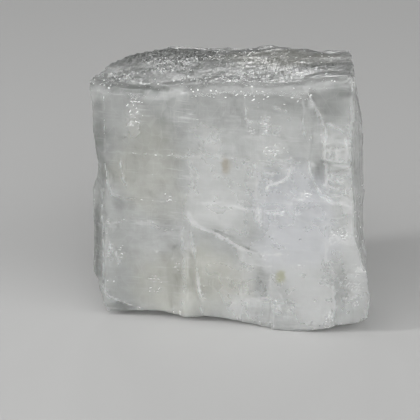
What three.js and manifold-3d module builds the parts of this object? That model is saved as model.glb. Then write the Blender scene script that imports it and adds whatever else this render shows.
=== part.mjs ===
// A beryllonite crystal: one cleavage block about 28 mm wide, 14 mm deep and 27 mm tall.
// The mineral splits perfectly in one direction, so the block is built as a book of thin
// laminae stacked along Y. Their broken edges make the fluted sides and the hackly top and
// bottom. Flakes that have split off leave flat, stepped recesses on the front and the back.
// Millimetres, +Z up. The front faces -Y. The origin is under the middle of the block, on
// the flat that it stands on.
import * as THREE from "three";
import { mergeVertices } from "three/addons/utils/BufferGeometryUtils.js";
import Module from "manifold-3d";

const wasm = await Module();
wasm.setup();

// ---------------------------------------------------------------- driving sizes
const FRONT_Y = -6.2; // the front cleavage face
const BACK_Y = 7.4; // the back cleavage face
const LAMINA = { thin: 0.4, thick: 1.1, overlap: 0.02 }; // a lamina's thickness, and its hold on the next
const RAGGED = { top: 0.16, foot: 0.1, side: 0.07 }; // how far a broken edge wanders
const SPACING = { top: 1.5, foot: 2, side: 2 }; // distance between the points of a broken edge
const UNEVEN = 0.28; // how far such a point moves along its edge, as a share of the spacing
const LAMINA_SHIFT = { top: 0.2, side: 0.18 }; // how far one lamina stands past the next
const SIDE_SPAN = [1.9, 23]; // heights of the lowest and highest points of a lamina's sides
const CORNER_HEIGHT = { foot: 0, top: 25 }; // heights at which the ends of the foot and top are found
const SEED = 1846; // every ragged edge comes from this number

// Heights of the top's edge, as [x, z], along the front face, the middle and the back face.
const TOP_FRONT = [
  [-13.4, 24.7],
  [-12, 24.2],
  [-9.2, 24.4],
  [-6.8, 23.9],
  [-5.3, 23.9],
  [-3.5, 24.3],
  [-2.8, 24.8],
  [0.6, 25.2],
  [7.3, 25.4],
  [10.1, 26.2],
  [12.9, 26.6],
];
const TOP_MIDDLE = [
  [-13.4, 25.1],
  [-9, 25.4],
  [-4, 25.3],
  [2, 25.9],
  [8, 26],
  [12.9, 26.4],
];
const TOP_BACK = [
  [-13.4, 25.1],
  [-9, 25.4],
  [-6.4, 25],
  [-3, 25],
  [-0.6, 25.4],
  [3.5, 26],
  [4.8, 25.5],
  [9.2, 25.6],
  [12.9, 25.6],
];
// Heights of the foot's edge, as [x, z], along the front face.
const FOOT_FRONT = [
  [-13.4, 0.7],
  [-11.2, 0.5],
  [-8.6, 0.8],
  [-6.6, 1.1],
  [-4.4, 0.1],
  [-3.1, 0.5],
  [-2.2, 0.9],
  [-0.9, 0.8],
  [2.2, 0.4],
  [4.4, 0.2],
  [6.2, -0.1],
  [7.4, -0.1],
  [9.2, 0.3],
  [11.4, 0.8],
  [13.9, 1.2],
  [15.2, 1.6],
];
const FOOT_RAISED = { whole: 1.8, gone: 4 }; // how far back that edge holds, and where the flat starts
const FOOT_BACK_LIFT = { height: 0.7, reach: 2 }; // how far the foot is chipped up at the back face
const FOOT_BITE = 0.3; // how far the laminae run below the flat before they are cut off

// The sides, as [z, x], at the front face and at the back face.
const LEFT_FRONT = [
  [0, -11.6],
  [1, -12],
  [2.6, -12.3],
  [3.9, -13.4],
  [11.5, -13.2],
  [14.6, -13.2],
  [15.6, -12.6],
  [17.3, -12.8],
  [18.8, -13.1],
  [27, -13.1],
];
const LEFT_BACK = [
  [0, -9.6],
  [8, -10.4],
  [16, -9.2],
  [27, -6.6],
];
const RIGHT_FRONT = [
  [0, 14],
  [1.2, 14.4],
  [1.8, 14.8],
  [3.6, 14.9],
  [7.6, 14.5],
  [9.6, 13.5],
  [11.2, 13.1],
  [19.3, 12.8],
  [27, 12.7],
];
const RIGHT_BACK = [
  [0, 11.8],
  [2, 12.3],
  [6.4, 12.1],
  [10.7, 12.7],
  [18.7, 12.4],
  [20.5, 12],
  [22.5, 11.3],
  [27, 10.4],
];

// Flakes lost from the front face: what each outline left behind lies `depth` behind the
// face. Outlines are [x, z], seen from the front. `slope` is how far the rim of the recess
// spreads for each millimetre of depth.
const FRONT_FLAKES = [
  {
    name: "left panel",
    depth: 0.4,
    slope: 0.5,
    outline: [
      [-16, -2],
      [-4, -2],
      [-4, 3.5],
      [-3.85, 9.4],
      [-3.5, 14.8],
      [-3.85, 21],
      [-3.75, 28],
      [-16, 28],
    ],
  },
  {
    name: "left rim",
    depth: 1.6,
    slope: 0.9,
    outline: [
      [-16, 1.9],
      [-12.9, 2.4],
      [-12.7, 8],
      [-12.5, 14.3],
      [-13, 15.2],
      [-16, 15.5],
    ],
  },
  {
    name: "left middle panel",
    depth: 0.46,
    slope: 0.8,
    outline: [
      [-9.5, 9.3],
      [-4.3, 9.5],
      [-4.2, 13],
      [-4.3, 17.5],
      [-9.5, 17.4],
      [-9.65, 13.3],
    ],
  },
  {
    name: "left upper shoulder",
    depth: 0.65,
    slope: 1,
    outline: [
      [-16, 17.8],
      [-11.6, 18.2],
      [-11.2, 21.6],
      [-12.2, 24],
      [-11.9, 28],
      [-16, 28],
    ],
  },
  {
    name: "left foot panel",
    depth: 0.46,
    slope: 1,
    outline: [
      [-9.3, 4.9],
      [-6.8, 5.3],
      [-6.9, 1.7],
      [-4.4, 1.6],
      [-4.4, 8.9],
      [-9.4, 8.9],
    ],
  },
  {
    name: "groove beside the channel",
    depth: 0.75,
    slope: 0.6,
    outline: [
      [-4.9, 1.4],
      [-4.2, 1.6],
      [-4.2, 7.9],
      [-4.6, 8.2],
    ],
  },
  {
    name: "channel beside the left panel",
    depth: 0.32,
    slope: 0.35,
    outline: [
      [-4.3, -2],
      [-1.9, -2],
      [-2.1, 3.2],
      [-2.5, 6.5],
      [-2.9, 9],
      [-3.2, 11.2],
      [-3.7, 12],
    ],
  },
  {
    name: "step below the ledge",
    depth: 0.38,
    slope: 0.9,
    outline: [
      [-3.1, -2],
      [2.4, -2],
      [5, -2],
      [5.2, 2.7],
      [4.7, 4],
      [4.2, 5.4],
      [4.3, 7.5],
      [3.2, 8.2],
      [2, 8.7],
      [0, 9.8],
      [-1.7, 10.3],
      [-2.7, 10.6],
      [-3.2, 11.6],
    ],
  },
  {
    name: "window in the step",
    depth: 0.5,
    slope: 0.5,
    outline: [
      [2.45, 2.9],
      [4.1, 3],
      [4.1, 6.7],
      [2.4, 6.6],
    ],
  },
  {
    name: "right foot block",
    depth: 0.42,
    slope: 0.6,
    outline: [
      [11.6, -2],
      [17, -2],
      [17, 8],
      [12.2, 7.8],
      [11.5, 6.9],
      [11.7, 5.6],
    ],
  },
  {
    name: "upper right corner",
    depth: 0.34,
    slope: 1,
    outline: [
      [8.2, 28],
      [8.5, 25.2],
      [8.9, 23.9],
      [9.9, 22.4],
      [10, 20.4],
      [12.1, 20.1],
      [17, 20.2],
      [17, 28],
    ],
  },
  {
    name: "groove down the right",
    depth: 0.25,
    slope: 0.6,
    outline: [
      [9, 17.6],
      [9.7, 17.6],
      [9.8, 22.5],
      [9, 23.4],
    ],
  },
  {
    name: "curved hollow on the right",
    depth: 0.3,
    slope: 1,
    outline: [
      [9.4, 17.9],
      [9.7, 16],
      [10.4, 14.3],
      [10.8, 14.2],
      [10.6, 15.8],
      [10.7, 17.8],
    ],
  },
  {
    name: "ladder panel",
    depth: 0.18,
    slope: 0.6,
    outline: [
      [10.7, 17.8],
      [12.4, 17.7],
      [12.3, 20.6],
      [10.7, 21.6],
    ],
  },
  {
    name: "lower ladder panel",
    depth: 0.14,
    slope: 0.8,
    outline: [
      [11, 13.9],
      [12.7, 13.7],
      [12.5, 17.2],
      [11, 17.3],
    ],
  },
  {
    name: "middle panel under the long crack",
    depth: 0.09,
    slope: 1,
    outline: [
      [-3, 12.9],
      [0.2, 13.2],
      [2.1, 12.8],
      [6.3, 12.5],
      [7.6, 17.6],
      [2.1, 17.6],
      [-0.9, 17.9],
      [-3, 17.9],
    ],
  },
  {
    name: "panel right of the ledge",
    depth: 0.1,
    slope: 1,
    outline: [
      [4.2, 8.2],
      [8.4, 8.6],
      [11.3, 8.2],
      [11.1, 5.9],
      [5, 5.6],
    ],
  },
];

// Flakes lost from the back face, drawn as [across, z] seen from behind.
const BACK_FLAKES = [
  {
    name: "wide upper step",
    depth: 0.8,
    slope: 0.5,
    outline: [
      [-16, 14.9],
      [-6.2, 15.4],
      [-5.4, 17.8],
      [-1.1, 18.6],
      [0.4, 22.3],
      [0.2, 29],
      [-16, 29],
    ],
  },
  {
    name: "narrow inner step",
    depth: 1.3,
    slope: 0.4,
    outline: [
      [-16, 17.2],
      [-9.4, 17.3],
      [-9.1, 20.8],
      [-5.2, 21.4],
      [-5, 29],
      [-16, 29],
    ],
  },
  {
    name: "foot step",
    depth: 0.6,
    slope: 0.7,
    outline: [
      [2.2, -2],
      [2.4, 4.6],
      [4.9, 6.8],
      [8.3, 7.1],
      [8.2, 10.4],
      [16, 10.7],
      [16, -2],
    ],
  },
  {
    name: "foot inner step",
    depth: 1.1,
    slope: 0.4,
    outline: [
      [6.1, -2],
      [6.2, 3.4],
      [8.6, 4.9],
      [16, 5],
      [16, -2],
    ],
  },
  {
    name: "middle splinter",
    depth: 0.35,
    slope: 0.9,
    outline: [
      [-4.2, 2.6],
      [-2.6, 2.2],
      [-1.7, 8.8],
      [-2.2, 13.2],
      [-3.4, 12.4],
      [-4, 7.4],
    ],
  },
];

// Shell-shaped breaks: balls whose surface is left in the block, as centre, radii and turn.
const SHELL_BREAKS = [
  { name: "glassy dish in the top's left end", at: [-8.4, 2.6, 36.9], radii: [9, 6.5, 12], turn: 0.03 },
  { name: "bite at the back of the top's right end", at: [9.4, 9.4, 27.6], radii: [3.6, 3, 2.6], turn: 0.2 },
  { name: "bite under the left end", at: [-12.8, -9, -1.7], radii: [5.2, 4.6, 3], turn: -0.1 },
  { name: "bite at the back's foot", at: [-3.4, 9.9, -1.6], radii: [4.8, 3.4, 3], turn: 0.3 },
];
const BALL_FACETS = { round: 24, tall: 14 }; // facets round a shell-shaped break, and pole to pole

const OUTSIDE = 3; // how far the cutter of a flake reaches out of the block
const BELOW = { across: 60, deep: 10 }; // the box that cuts the foot flat

// Notches where a corner has snapped: place, size and turn.
const CORNER_CHIPS = [
  { at: [-13.7, -4.9, 15.9], size: [1.1, 3.2, 0.7], turn: [0.3, 0.1, 0.5] },
  { at: [12.9, -6.6, 26.8], size: [2.6, 1.6, 1.2], turn: [0.6, 0.2, 0.1] },
  { at: [15.1, -5.6, 8.4], size: [1.8, 2.2, 1.1], turn: [0.2, 0.6, 0.4] },
  { at: [12, 7.4, 12.4], size: [1.6, 1.6, 6], turn: [0.1, 0, 0.8] },
  { at: [-8.9, 7.6, 19.2], size: [3, 1.6, 4.4], turn: [0.1, 0.2, 0.6] },
];

// ---------------------------------------------------------------- chance and lines
// Numbers between -1 and 1 that look random and are the same on every run.
function chance(seed) {
  let state = seed >>> 0;
  return () => {
    state = (state + 0x6d2b79f5) >>> 0;
    let mixed = Math.imul(state ^ (state >>> 15), 1 | state);
    mixed ^= mixed + Math.imul(mixed ^ (mixed >>> 7), 61 | mixed);
    return ((mixed ^ (mixed >>> 14)) >>> 0) / 2147483648 - 1;
  };
}

// The second number of a line of [at, value] points, at any place along it.
function along(line, at) {
  const next = line.findIndex(([place]) => place > at);
  if (next === 0) return line[0][1];
  if (next < 0) return line.at(-1)[1];
  const [a, b] = [line[next - 1], line[next]];
  return THREE.MathUtils.mapLinear(at, a[0], b[0], a[1], b[1]);
}

// Places from one value to another, about `spacing` apart and unevenly set.
function unevenPlaces(from, to, spacing, random) {
  const count = Math.max(2, Math.round(Math.abs(to - from) / spacing));
  const step = (to - from) / count;
  const places = [];
  for (let i = 0; i <= count; i += 1) {
    const wander = i > 0 && i < count ? UNEVEN * random() : 0;
    places.push(from + (i + wander) * step);
  }
  return places;
}

// ---------------------------------------------------------------- solids
const WELD = 1e-4; // corners closer than this are one corner

// A closed three.js geometry as a solid that can be joined and cut.
function solidOf(geometry, matrix) {
  const bare = geometry.clone();
  bare.deleteAttribute("normal");
  bare.deleteAttribute("uv");
  if (matrix) bare.applyMatrix4(matrix);
  const merged = mergeVertices(bare, WELD);
  const mesh = new wasm.Mesh({
    numProp: 3,
    vertProperties: new Float32Array(merged.attributes.position.array),
    triVerts: new Uint32Array(merged.index.array),
  });
  return new wasm.Manifold(mesh);
}

// An outline of [x, z] points, extruded along Y from one place to another.
function slab(outline, yFrom, yTo) {
  const shape = new THREE.Shape(outline.map(([x, z]) => new THREE.Vector2(x, z)));
  const geometry = new THREE.ExtrudeGeometry(shape, { depth: yTo - yFrom, bevelEnabled: false });
  const upright = new THREE.Matrix4().makeRotationX(Math.PI / 2);
  upright.premultiply(new THREE.Matrix4().makeTranslation(0, yTo, 0));
  return solidOf(geometry, upright);
}

// ---------------------------------------------------------------- the book of laminae
// Where the laminae start and end along Y.
function laminaPlaces() {
  const random = chance(SEED);
  const places = [FRONT_Y];
  while (places.at(-1) < BACK_Y - LAMINA.thick) {
    const share = (random() + 1) / 2;
    places.push(places.at(-1) + THREE.MathUtils.lerp(LAMINA.thin, LAMINA.thick, share));
  }
  places.push(BACK_Y);
  return places;
}

// The height of the top at x, for a lamina at `share` of the way from front to back.
function topHeight(x, share) {
  const half = share < 0.5;
  const near = along(half ? TOP_FRONT : TOP_MIDDLE, x);
  const far = along(half ? TOP_MIDDLE : TOP_BACK, x);
  return THREE.MathUtils.lerp(near, far, half ? share * 2 : share * 2 - 1);
}

// The height of the foot at x. It is ragged at both faces and cut flat between them.
function footHeight(x, y) {
  const { clamp, inverseLerp } = THREE.MathUtils;
  const raised = clamp(inverseLerp(FOOT_RAISED.gone, FOOT_RAISED.whole, y - FRONT_Y), 0, 1);
  const chipped = clamp(inverseLerp(FOOT_BACK_LIFT.reach, 0, BACK_Y - y), 0, 1);
  return along(FOOT_FRONT, x) * raised + FOOT_BACK_LIFT.height * chipped - FOOT_BITE * (1 - raised);
}

// How far across a side stands at height z.
function sidePlace(front, back, z, bow) {
  return THREE.MathUtils.lerp(along(front, z), along(back, z), bow);
}

// One lamina's outline, anticlockwise from the left end of its foot.
function laminaOutline(y, random) {
  const { foot, top } = CORNER_HEIGHT;
  const share = (y - FRONT_Y) / (BACK_Y - FRONT_Y);
  const lift = LAMINA_SHIFT.top * random();
  const leftShift = LAMINA_SHIFT.side * random();
  const rightShift = LAMINA_SHIFT.side * random();
  // The left side draws in mostly near the back, and the right side evenly.
  const left = (z) => sidePlace(LEFT_FRONT, LEFT_BACK, z, share * share) + leftShift;
  const right = (z) => sidePlace(RIGHT_FRONT, RIGHT_BACK, z, share) + rightShift;
  const points = [];
  for (const x of unevenPlaces(left(foot), right(foot), SPACING.foot, random)) {
    points.push([x, footHeight(x, y) + RAGGED.foot * random()]);
  }
  for (const z of unevenPlaces(...SIDE_SPAN, SPACING.side, random)) {
    points.push([right(z) + RAGGED.side * random(), z]);
  }
  for (const x of unevenPlaces(right(top), left(top), SPACING.top, random)) {
    points.push([x, topHeight(x, share) + lift + RAGGED.top * random()]);
  }
  for (const z of unevenPlaces(...SIDE_SPAN, SPACING.side, random).reverse()) {
    points.push([left(z) + RAGGED.side * random(), z]);
  }
  return points;
}

function laminaBook() {
  const places = laminaPlaces();
  let book = null;
  for (let i = 0; i + 1 < places.length; i += 1) {
    const random = chance(SEED + 17 * (i + 1));
    const middle = (places[i] + places[i + 1]) / 2;
    const reach = i + 2 < places.length ? LAMINA.overlap : 0;
    const lamina = slab(laminaOutline(middle, random), places[i], places[i + 1] + reach);
    book = book ? book.add(lamina) : lamina;
  }
  return book;
}

// ---------------------------------------------------------------- what has broken off
// A flake's cutter. Its floor has the flake's outline, and its rim spreads with the slope.
function flakeCutter(flake) {
  const shape = new THREE.Shape(flake.outline.map(([x, z]) => new THREE.Vector2(x, z)));
  return new THREE.ExtrudeGeometry(shape, {
    depth: OUTSIDE,
    bevelThickness: flake.depth,
    bevelSize: flake.depth * flake.slope,
    bevelSegments: 1,
  });
}

function cutFlakes(block, flakes, face) {
  let cut = block;
  for (const flake of flakes) {
    cut = cut.subtract(solidOf(flakeCutter(flake), face));
  }
  return cut;
}

// Stands a drawn outline up on the front face, facing -Y, or on the back face, facing +Y.
function faceMatrix(y, facesBack) {
  const upright = new THREE.Matrix4().makeRotationX(Math.PI / 2);
  if (facesBack) upright.premultiply(new THREE.Matrix4().makeRotationZ(Math.PI));
  return upright.premultiply(new THREE.Matrix4().makeTranslation(0, y, 0));
}

function cutShellBreaks(block) {
  const ball = new THREE.SphereGeometry(1, BALL_FACETS.round, BALL_FACETS.tall);
  let cut = block;
  for (const shell of SHELL_BREAKS) {
    const matrix = new THREE.Matrix4().compose(
      new THREE.Vector3(...shell.at),
      new THREE.Quaternion().setFromEuler(new THREE.Euler(shell.turn, shell.turn / 2, shell.turn)),
      new THREE.Vector3(...shell.radii),
    );
    cut = cut.subtract(solidOf(ball, matrix));
  }
  return cut;
}

function cutCornerChips(block) {
  let cut = block;
  for (const chip of CORNER_CHIPS) {
    const matrix = new THREE.Matrix4().makeRotationFromEuler(new THREE.Euler(...chip.turn));
    matrix.setPosition(...chip.at);
    cut = cut.subtract(solidOf(new THREE.BoxGeometry(...chip.size), matrix));
  }
  return cut;
}

// Everything below the flat that the block stands on is cut off.
function cutFoot(block) {
  const below = new THREE.BoxGeometry(BELOW.across, BELOW.across, BELOW.deep);
  const lowered = new THREE.Matrix4().makeTranslation(0, 0, -BELOW.deep / 2);
  return block.subtract(solidOf(below, lowered));
}

// ---------------------------------------------------------------- the crystal
function crystalGeometry() {
  let block = laminaBook();
  block = cutFlakes(block, FRONT_FLAKES, faceMatrix(FRONT_Y, false));
  block = cutFlakes(block, BACK_FLAKES, faceMatrix(BACK_Y, true));
  block = cutShellBreaks(block);
  block = cutCornerChips(block);
  block = cutFoot(block);
  const { vertProperties, triVerts } = block.getMesh();
  const geometry = new THREE.BufferGeometry();
  geometry.setAttribute("position", new THREE.BufferAttribute(vertProperties, 3));
  geometry.setIndex(new THREE.BufferAttribute(triVerts, 1));
  geometry.computeBoundingBox();
  const middle = geometry.boundingBox.getCenter(new THREE.Vector3());
  geometry.translate(-middle.x, -middle.y, 0);
  const faceted = geometry.toNonIndexed();
  faceted.computeVertexNormals();
  return faceted;
}

const beryllonite = new THREE.MeshStandardMaterial({
  color: 0xc9cccb,
  roughness: 0.28,
  metalness: 0,
  transparent: true,
  opacity: 0.85,
});

const crystal = new THREE.Mesh(crystalGeometry(), beryllonite);
crystal.name = "beryllonite_crystal";

const specimen = new THREE.Group();
specimen.name = "specimen";
specimen.add(crystal);

export default specimen;
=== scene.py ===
"""A beryllonite cleavage block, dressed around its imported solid.

The block is a book of cleavage laminae that stand parallel to its front face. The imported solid
holds the block's outline, its ledges and its larger lost flakes. This script makes the fine form:
small cleavage steps on the front and back, a hackly top, fluted sides, chipped edges and
healed cracks, and then the milky, glassy finish.
"""

import functools
import itertools
import logging
import math
from dataclasses import dataclass
from enum import Enum

import bpy
import numpy as np
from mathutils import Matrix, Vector


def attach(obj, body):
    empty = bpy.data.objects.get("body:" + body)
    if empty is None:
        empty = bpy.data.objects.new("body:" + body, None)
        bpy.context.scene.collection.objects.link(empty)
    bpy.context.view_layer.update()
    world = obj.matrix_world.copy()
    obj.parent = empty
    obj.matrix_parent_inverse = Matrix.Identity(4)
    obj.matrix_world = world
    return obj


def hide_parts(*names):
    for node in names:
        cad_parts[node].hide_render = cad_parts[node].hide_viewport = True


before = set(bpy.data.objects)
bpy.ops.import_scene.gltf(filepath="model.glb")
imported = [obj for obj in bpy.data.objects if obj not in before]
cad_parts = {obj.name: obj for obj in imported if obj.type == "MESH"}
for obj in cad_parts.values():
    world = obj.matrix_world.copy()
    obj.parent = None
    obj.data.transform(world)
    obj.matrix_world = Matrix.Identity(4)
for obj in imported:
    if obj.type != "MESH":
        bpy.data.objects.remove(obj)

LOG = logging.getLogger("beryllonite")
MM = 0.001  # metres in a millimetre
CAD_NODE = "beryllonite_crystal"
FINISH_SLOT = "beryllonite"
BODY = "root"
TINY = 1e-9  # keeps a division from being by zero
INTO_BLOCK = (1.0, 0.45, 1.0)  # scales a place so that cells are longer into the block

Outline = tuple[tuple[float, float], ...]
Colour = tuple[float, float, float, float]
Size = float | tuple[float, ...]
Array = np.ndarray
Node = bpy.types.Node
Socket = bpy.types.NodeSocket
Sockets = bpy.types.bpy_prop_collection


# ------------------------------------------------------------------------------- random fields
class LatticeNoise:
    """Random fields over points, smooth or faceted, that are the same on every run."""

    PRIMES = (73856093, 19349663, 83492791)
    SEED_FACTOR, SALT_FACTOR = 2654435761, 40503
    MIXERS = ((15, 2246822519), (13, 3266489917))  # how far the bits are shifted, and a factor
    LAST_SHIFT = 16
    OCTAVE_SALT = 101  # sets each octave apart from the last
    MARGIN = 0.15  # a facet's middle keeps this share of a cell from the cell's edge

    def __init__(self, seed: int) -> None:
        """Keeps the seed that every field starts from."""
        self.seed = seed

    def chance(self, cells: Array, salt: int) -> Array:
        """Gives each lattice cell a random number.

        Args:
            cells: whole-number cells, one row each.
            salt: sets one field apart from another.

        Returns:
            One number from 0 to 1 for each row.
        """
        first = (self.seed * self.SEED_FACTOR + salt * self.SALT_FACTOR) % 2**32
        mixed = np.full(len(cells), first, np.uint32)
        for axis, prime in zip(cells.T, self.PRIMES):
            mixed = mixed ^ (axis.astype(np.int64) * prime).astype(np.uint32)
            for shift, factor in self.MIXERS:
                mixed = (mixed ^ (mixed >> np.uint32(shift))) * np.uint32(factor)
            mixed = mixed ^ (mixed >> np.uint32(self.LAST_SHIFT))
        return mixed / 2.0**32

    def smooth(self, points: Array, size: Size, salt: int, shift: float | Array = 0.0) -> Array:
        """Gives smooth noise.

        Args:
            points: places, one row each.
            size: how long a lattice cell is, the same along each axis or one for each.
            salt: sets one field apart from another.
            shift: how many cells the lattice is shifted.

        Returns:
            One number from -1 to 1 for each row.
        """
        places = points / size + shift
        cells = np.floor(places).astype(np.int64)
        part = places - cells
        ease = part * part * (3 - 2 * part)
        total = np.zeros(len(points))
        for corner in itertools.product((0, 1), repeat=points.shape[1]):
            weight = np.prod(np.where(corner, ease, 1 - ease), axis=1)
            total += weight * self.chance(cells + np.array(corner), salt)
        return 2 * total - 1

    def layered(
        self, points: Array, size: Size, octaves: int, salt: int, shift: float | Array = 0.0
    ) -> Array:
        """Adds octaves of smooth noise, each half as strong and twice as fine as the last.

        Args:
            points: places, one row each.
            size: how long the first octave's cells are.
            octaves: how many to add.
            salt: sets one field apart from another.
            shift: how many cells the first octave is shifted.

        Returns:
            One number from about -1 to 1 for each row.
        """
        places = points / size + shift
        total = np.zeros(len(points))
        for octave in range(octaves):
            share = 0.5**octave
            total += share * self.smooth(places, share, salt + self.OCTAVE_SALT * octave)
        return total / (2 - 2.0 ** (1 - octaves))

    def facets(self, points: Array, size: Size, tilt: float, square: bool, salt: int) -> Array:
        """Gives the height of a surface broken into small tilted facets.

        Args:
            points: places in two dimensions, one row each.
            size: how long a facet is.
            tilt: the steepest slope of a facet, in heights to a facet's length.
            square: True for blocky facets, False for rounded ones.
            salt: sets one field apart from another.

        Returns:
            One number from about -1 to 1 for each row.
        """
        places = points / size
        cells = np.floor(places).astype(np.int64)
        nearest = np.full(len(points), np.inf)
        height = np.zeros(len(points))
        for step in itertools.product((-1, 0, 1), repeat=2):
            cell = cells + np.array(step)
            seat = np.stack([self.chance(cell, salt + k) for k in (1, 2)], axis=1)
            away = places - (cell + self.MARGIN + (1 - 2 * self.MARGIN) * seat)
            reach = np.abs(away).max(axis=1) if square else np.hypot(*away.T)
            closer = reach < nearest
            lean = [2 * self.chance(cell, salt + k) - 1 for k in (3, 4)]
            level = 2 * self.chance(cell, salt) - 1
            level += tilt * (lean[0] * away[:, 0] + lean[1] * away[:, 1])
            height = np.where(closer, level, height)
            nearest = np.where(closer, reach, nearest)
        return height


def ease_between(low: float, high: float, value: Array) -> Array:
    """Rises smoothly from 0 to 1 as the value goes from low to high."""
    part = np.clip((value - low) / (high - low), 0, 1)
    return part * part * (3 - 2 * part)


# ------------------------------------------------------------------- what lies on the faces
@dataclass(frozen=True)
class Ledge:
    """A crack or a small cleavage step on the front face.

    Attributes:
        path: its points as (x, z), in millimetres.
        white: how white it shows, where 1 and over is fully white.
        width: how far its whiteness goes to each side, in millimetres.
        step: how far the side on the left of the path stands proud of the right, in millimetres.
        reach: how far from the path the step fades out, in millimetres.
    """

    CORE = 0.3  # the share of the width that is wholly white
    SLOPE = 0.07  # how far a step is spread to each side, in millimetres
    FADED = 3  # a step has faded out at this many reaches from the path

    path: Outline
    white: float
    width: float = 0.09
    step: float = 0.0
    reach: float = 1.0

    def near(self, plan: Array) -> Array:
        """Tells which places are close enough for the ledge to reach them.

        Args:
            plan: the places as (x, z), one row each.

        Returns:
            True for each place that is.
        """
        path = np.array(self.path)
        margin = self.FADED * self.reach if self.step else 2 * self.width
        return ((plan > path.min(axis=0) - margin) & (plan < path.max(axis=0) + margin)).all(axis=1)

    def measure(self, plan: Array) -> tuple[Array, Array]:
        """Measures how places lie to the path.

        Args:
            plan: the places as (x, z), one row each.

        Returns:
            How far each place is from the path, and how far to the left of its nearest run.
        """
        away = np.full(len(plan), np.inf)
        left = np.zeros(len(plan))
        for start, end in itertools.pairwise(np.array(self.path)):
            length = np.hypot(*(end - start))
            run = (end - start) / length
            along = np.clip((plan - start) @ run, 0, length)
            gap = np.hypot(*(plan - start - along[:, None] * run).T)
            across = (plan - start) @ np.array([-run[1], run[0]])
            left = np.where(gap < away, across, left)
            away = np.minimum(away, gap)
        return away, left

    def line(self, away: Array) -> Array:
        """Gives how white the ledge is at a distance from its path."""
        return self.white * (1 - ease_between(self.CORE * self.width, self.width, away))

    def rise(self, away: Array, left: Array) -> Array:
        """Gives how far the ledge moves the surface."""
        return 0.5 * self.step * np.tanh(left / self.SLOPE) * np.exp(-away / self.reach)


@dataclass(frozen=True)
class Comb:
    """A row of short cracks that lie side by side, like rungs.

    Attributes:
        start: where the row starts, as (x, z), in millimetres.
        end: where it ends.
        count: how many cracks it has.
        length: how long each crack is, in millimetres.
        upright: True where the cracks stand, False where they lie level.
        white: how white they show, where 1 and over is fully white.
    """

    ASTRAY = 0.08  # the most that a crack is out of its place, in millimetres
    UNEVEN = 0.35  # the most that its length differs, as a share of it
    LEAN = 0.12  # the most that its end leans, as a share of its length
    PATCHY = 0.3  # the most that its whiteness differs, as a share of it
    WIDTH, STEP, REACH = 0.1, 0.015, 0.2  # what each crack has of a ledge

    start: tuple[float, float]
    end: tuple[float, float]
    count: int
    length: float
    upright: bool
    white: float

    def ledges(self, random: np.random.Generator) -> list[Ledge]:
        """Places the row's cracks, each a little out of line.

        Args:
            random: gives how far each is out of line.

        Returns:
            The cracks.
        """
        placed = []
        for part in (np.arange(self.count) + 0.5) / self.count:
            jitter = random.uniform(-1, 1, 4)
            x = self.start[0] + part * (self.end[0] - self.start[0]) + self.ASTRAY * jitter[0]
            z = self.start[1] + part * (self.end[1] - self.start[1]) + self.ASTRAY * jitter[1]
            half = 0.5 * self.length * (1 + self.UNEVEN * jitter[2])
            lean = self.LEAN * self.length * jitter[3]
            dx, dz = (lean, half) if self.upright else (half, lean)
            white = self.white * (1 + self.PATCHY * jitter[1])
            path = ((x - dx, z - dz), (x + dx, z + dz))
            placed.append(Ledge(path, white, self.WIDTH, self.STEP, self.REACH))
        return placed


@dataclass(frozen=True)
class Patch:
    """A soft-edged patch of the block with a look of its own.

    Attributes:
        at: its middle as (x, y, z), in millimetres.
        reach: how far it goes along each axis, in millimetres.
        strength: how strong it is at the middle.
    """

    FADE = (0.45, 1.1)  # the shares of its reach between which it fades out

    at: tuple[float, float, float]
    reach: tuple[float, float, float]
    strength: float

    def mask(self, points: Array, wander: float | Array) -> Array:
        """Gives the patch's strength at each point; the wander moves its edge, in reaches."""
        away = np.linalg.norm((points - self.at) / self.reach, axis=1) + wander
        return self.strength * (1 - ease_between(*self.FADE, away))


class Mark(Enum):
    """The names of the fields that the form leaves on its points for the finish to read."""

    # whitened cracks and edges, with painted light in the creases and a painted highlight on the bright
    # ledge
    FRACTURE_AND_LIGHT = "fracture_and_light"
    BROKEN = "broken"
    # milky places, with painted light along the lip
    MILK_AND_LIGHT = "milk_and_light"
    # clearer places, with painted shade on the top, the lip, a groove and the left edge
    CLEAR = "clear"
    WARM = "warm"
    COOL = "cool"
    RUST = "rust"
    OCHRE = "ochre"
    GLINT = "glint"


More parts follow.
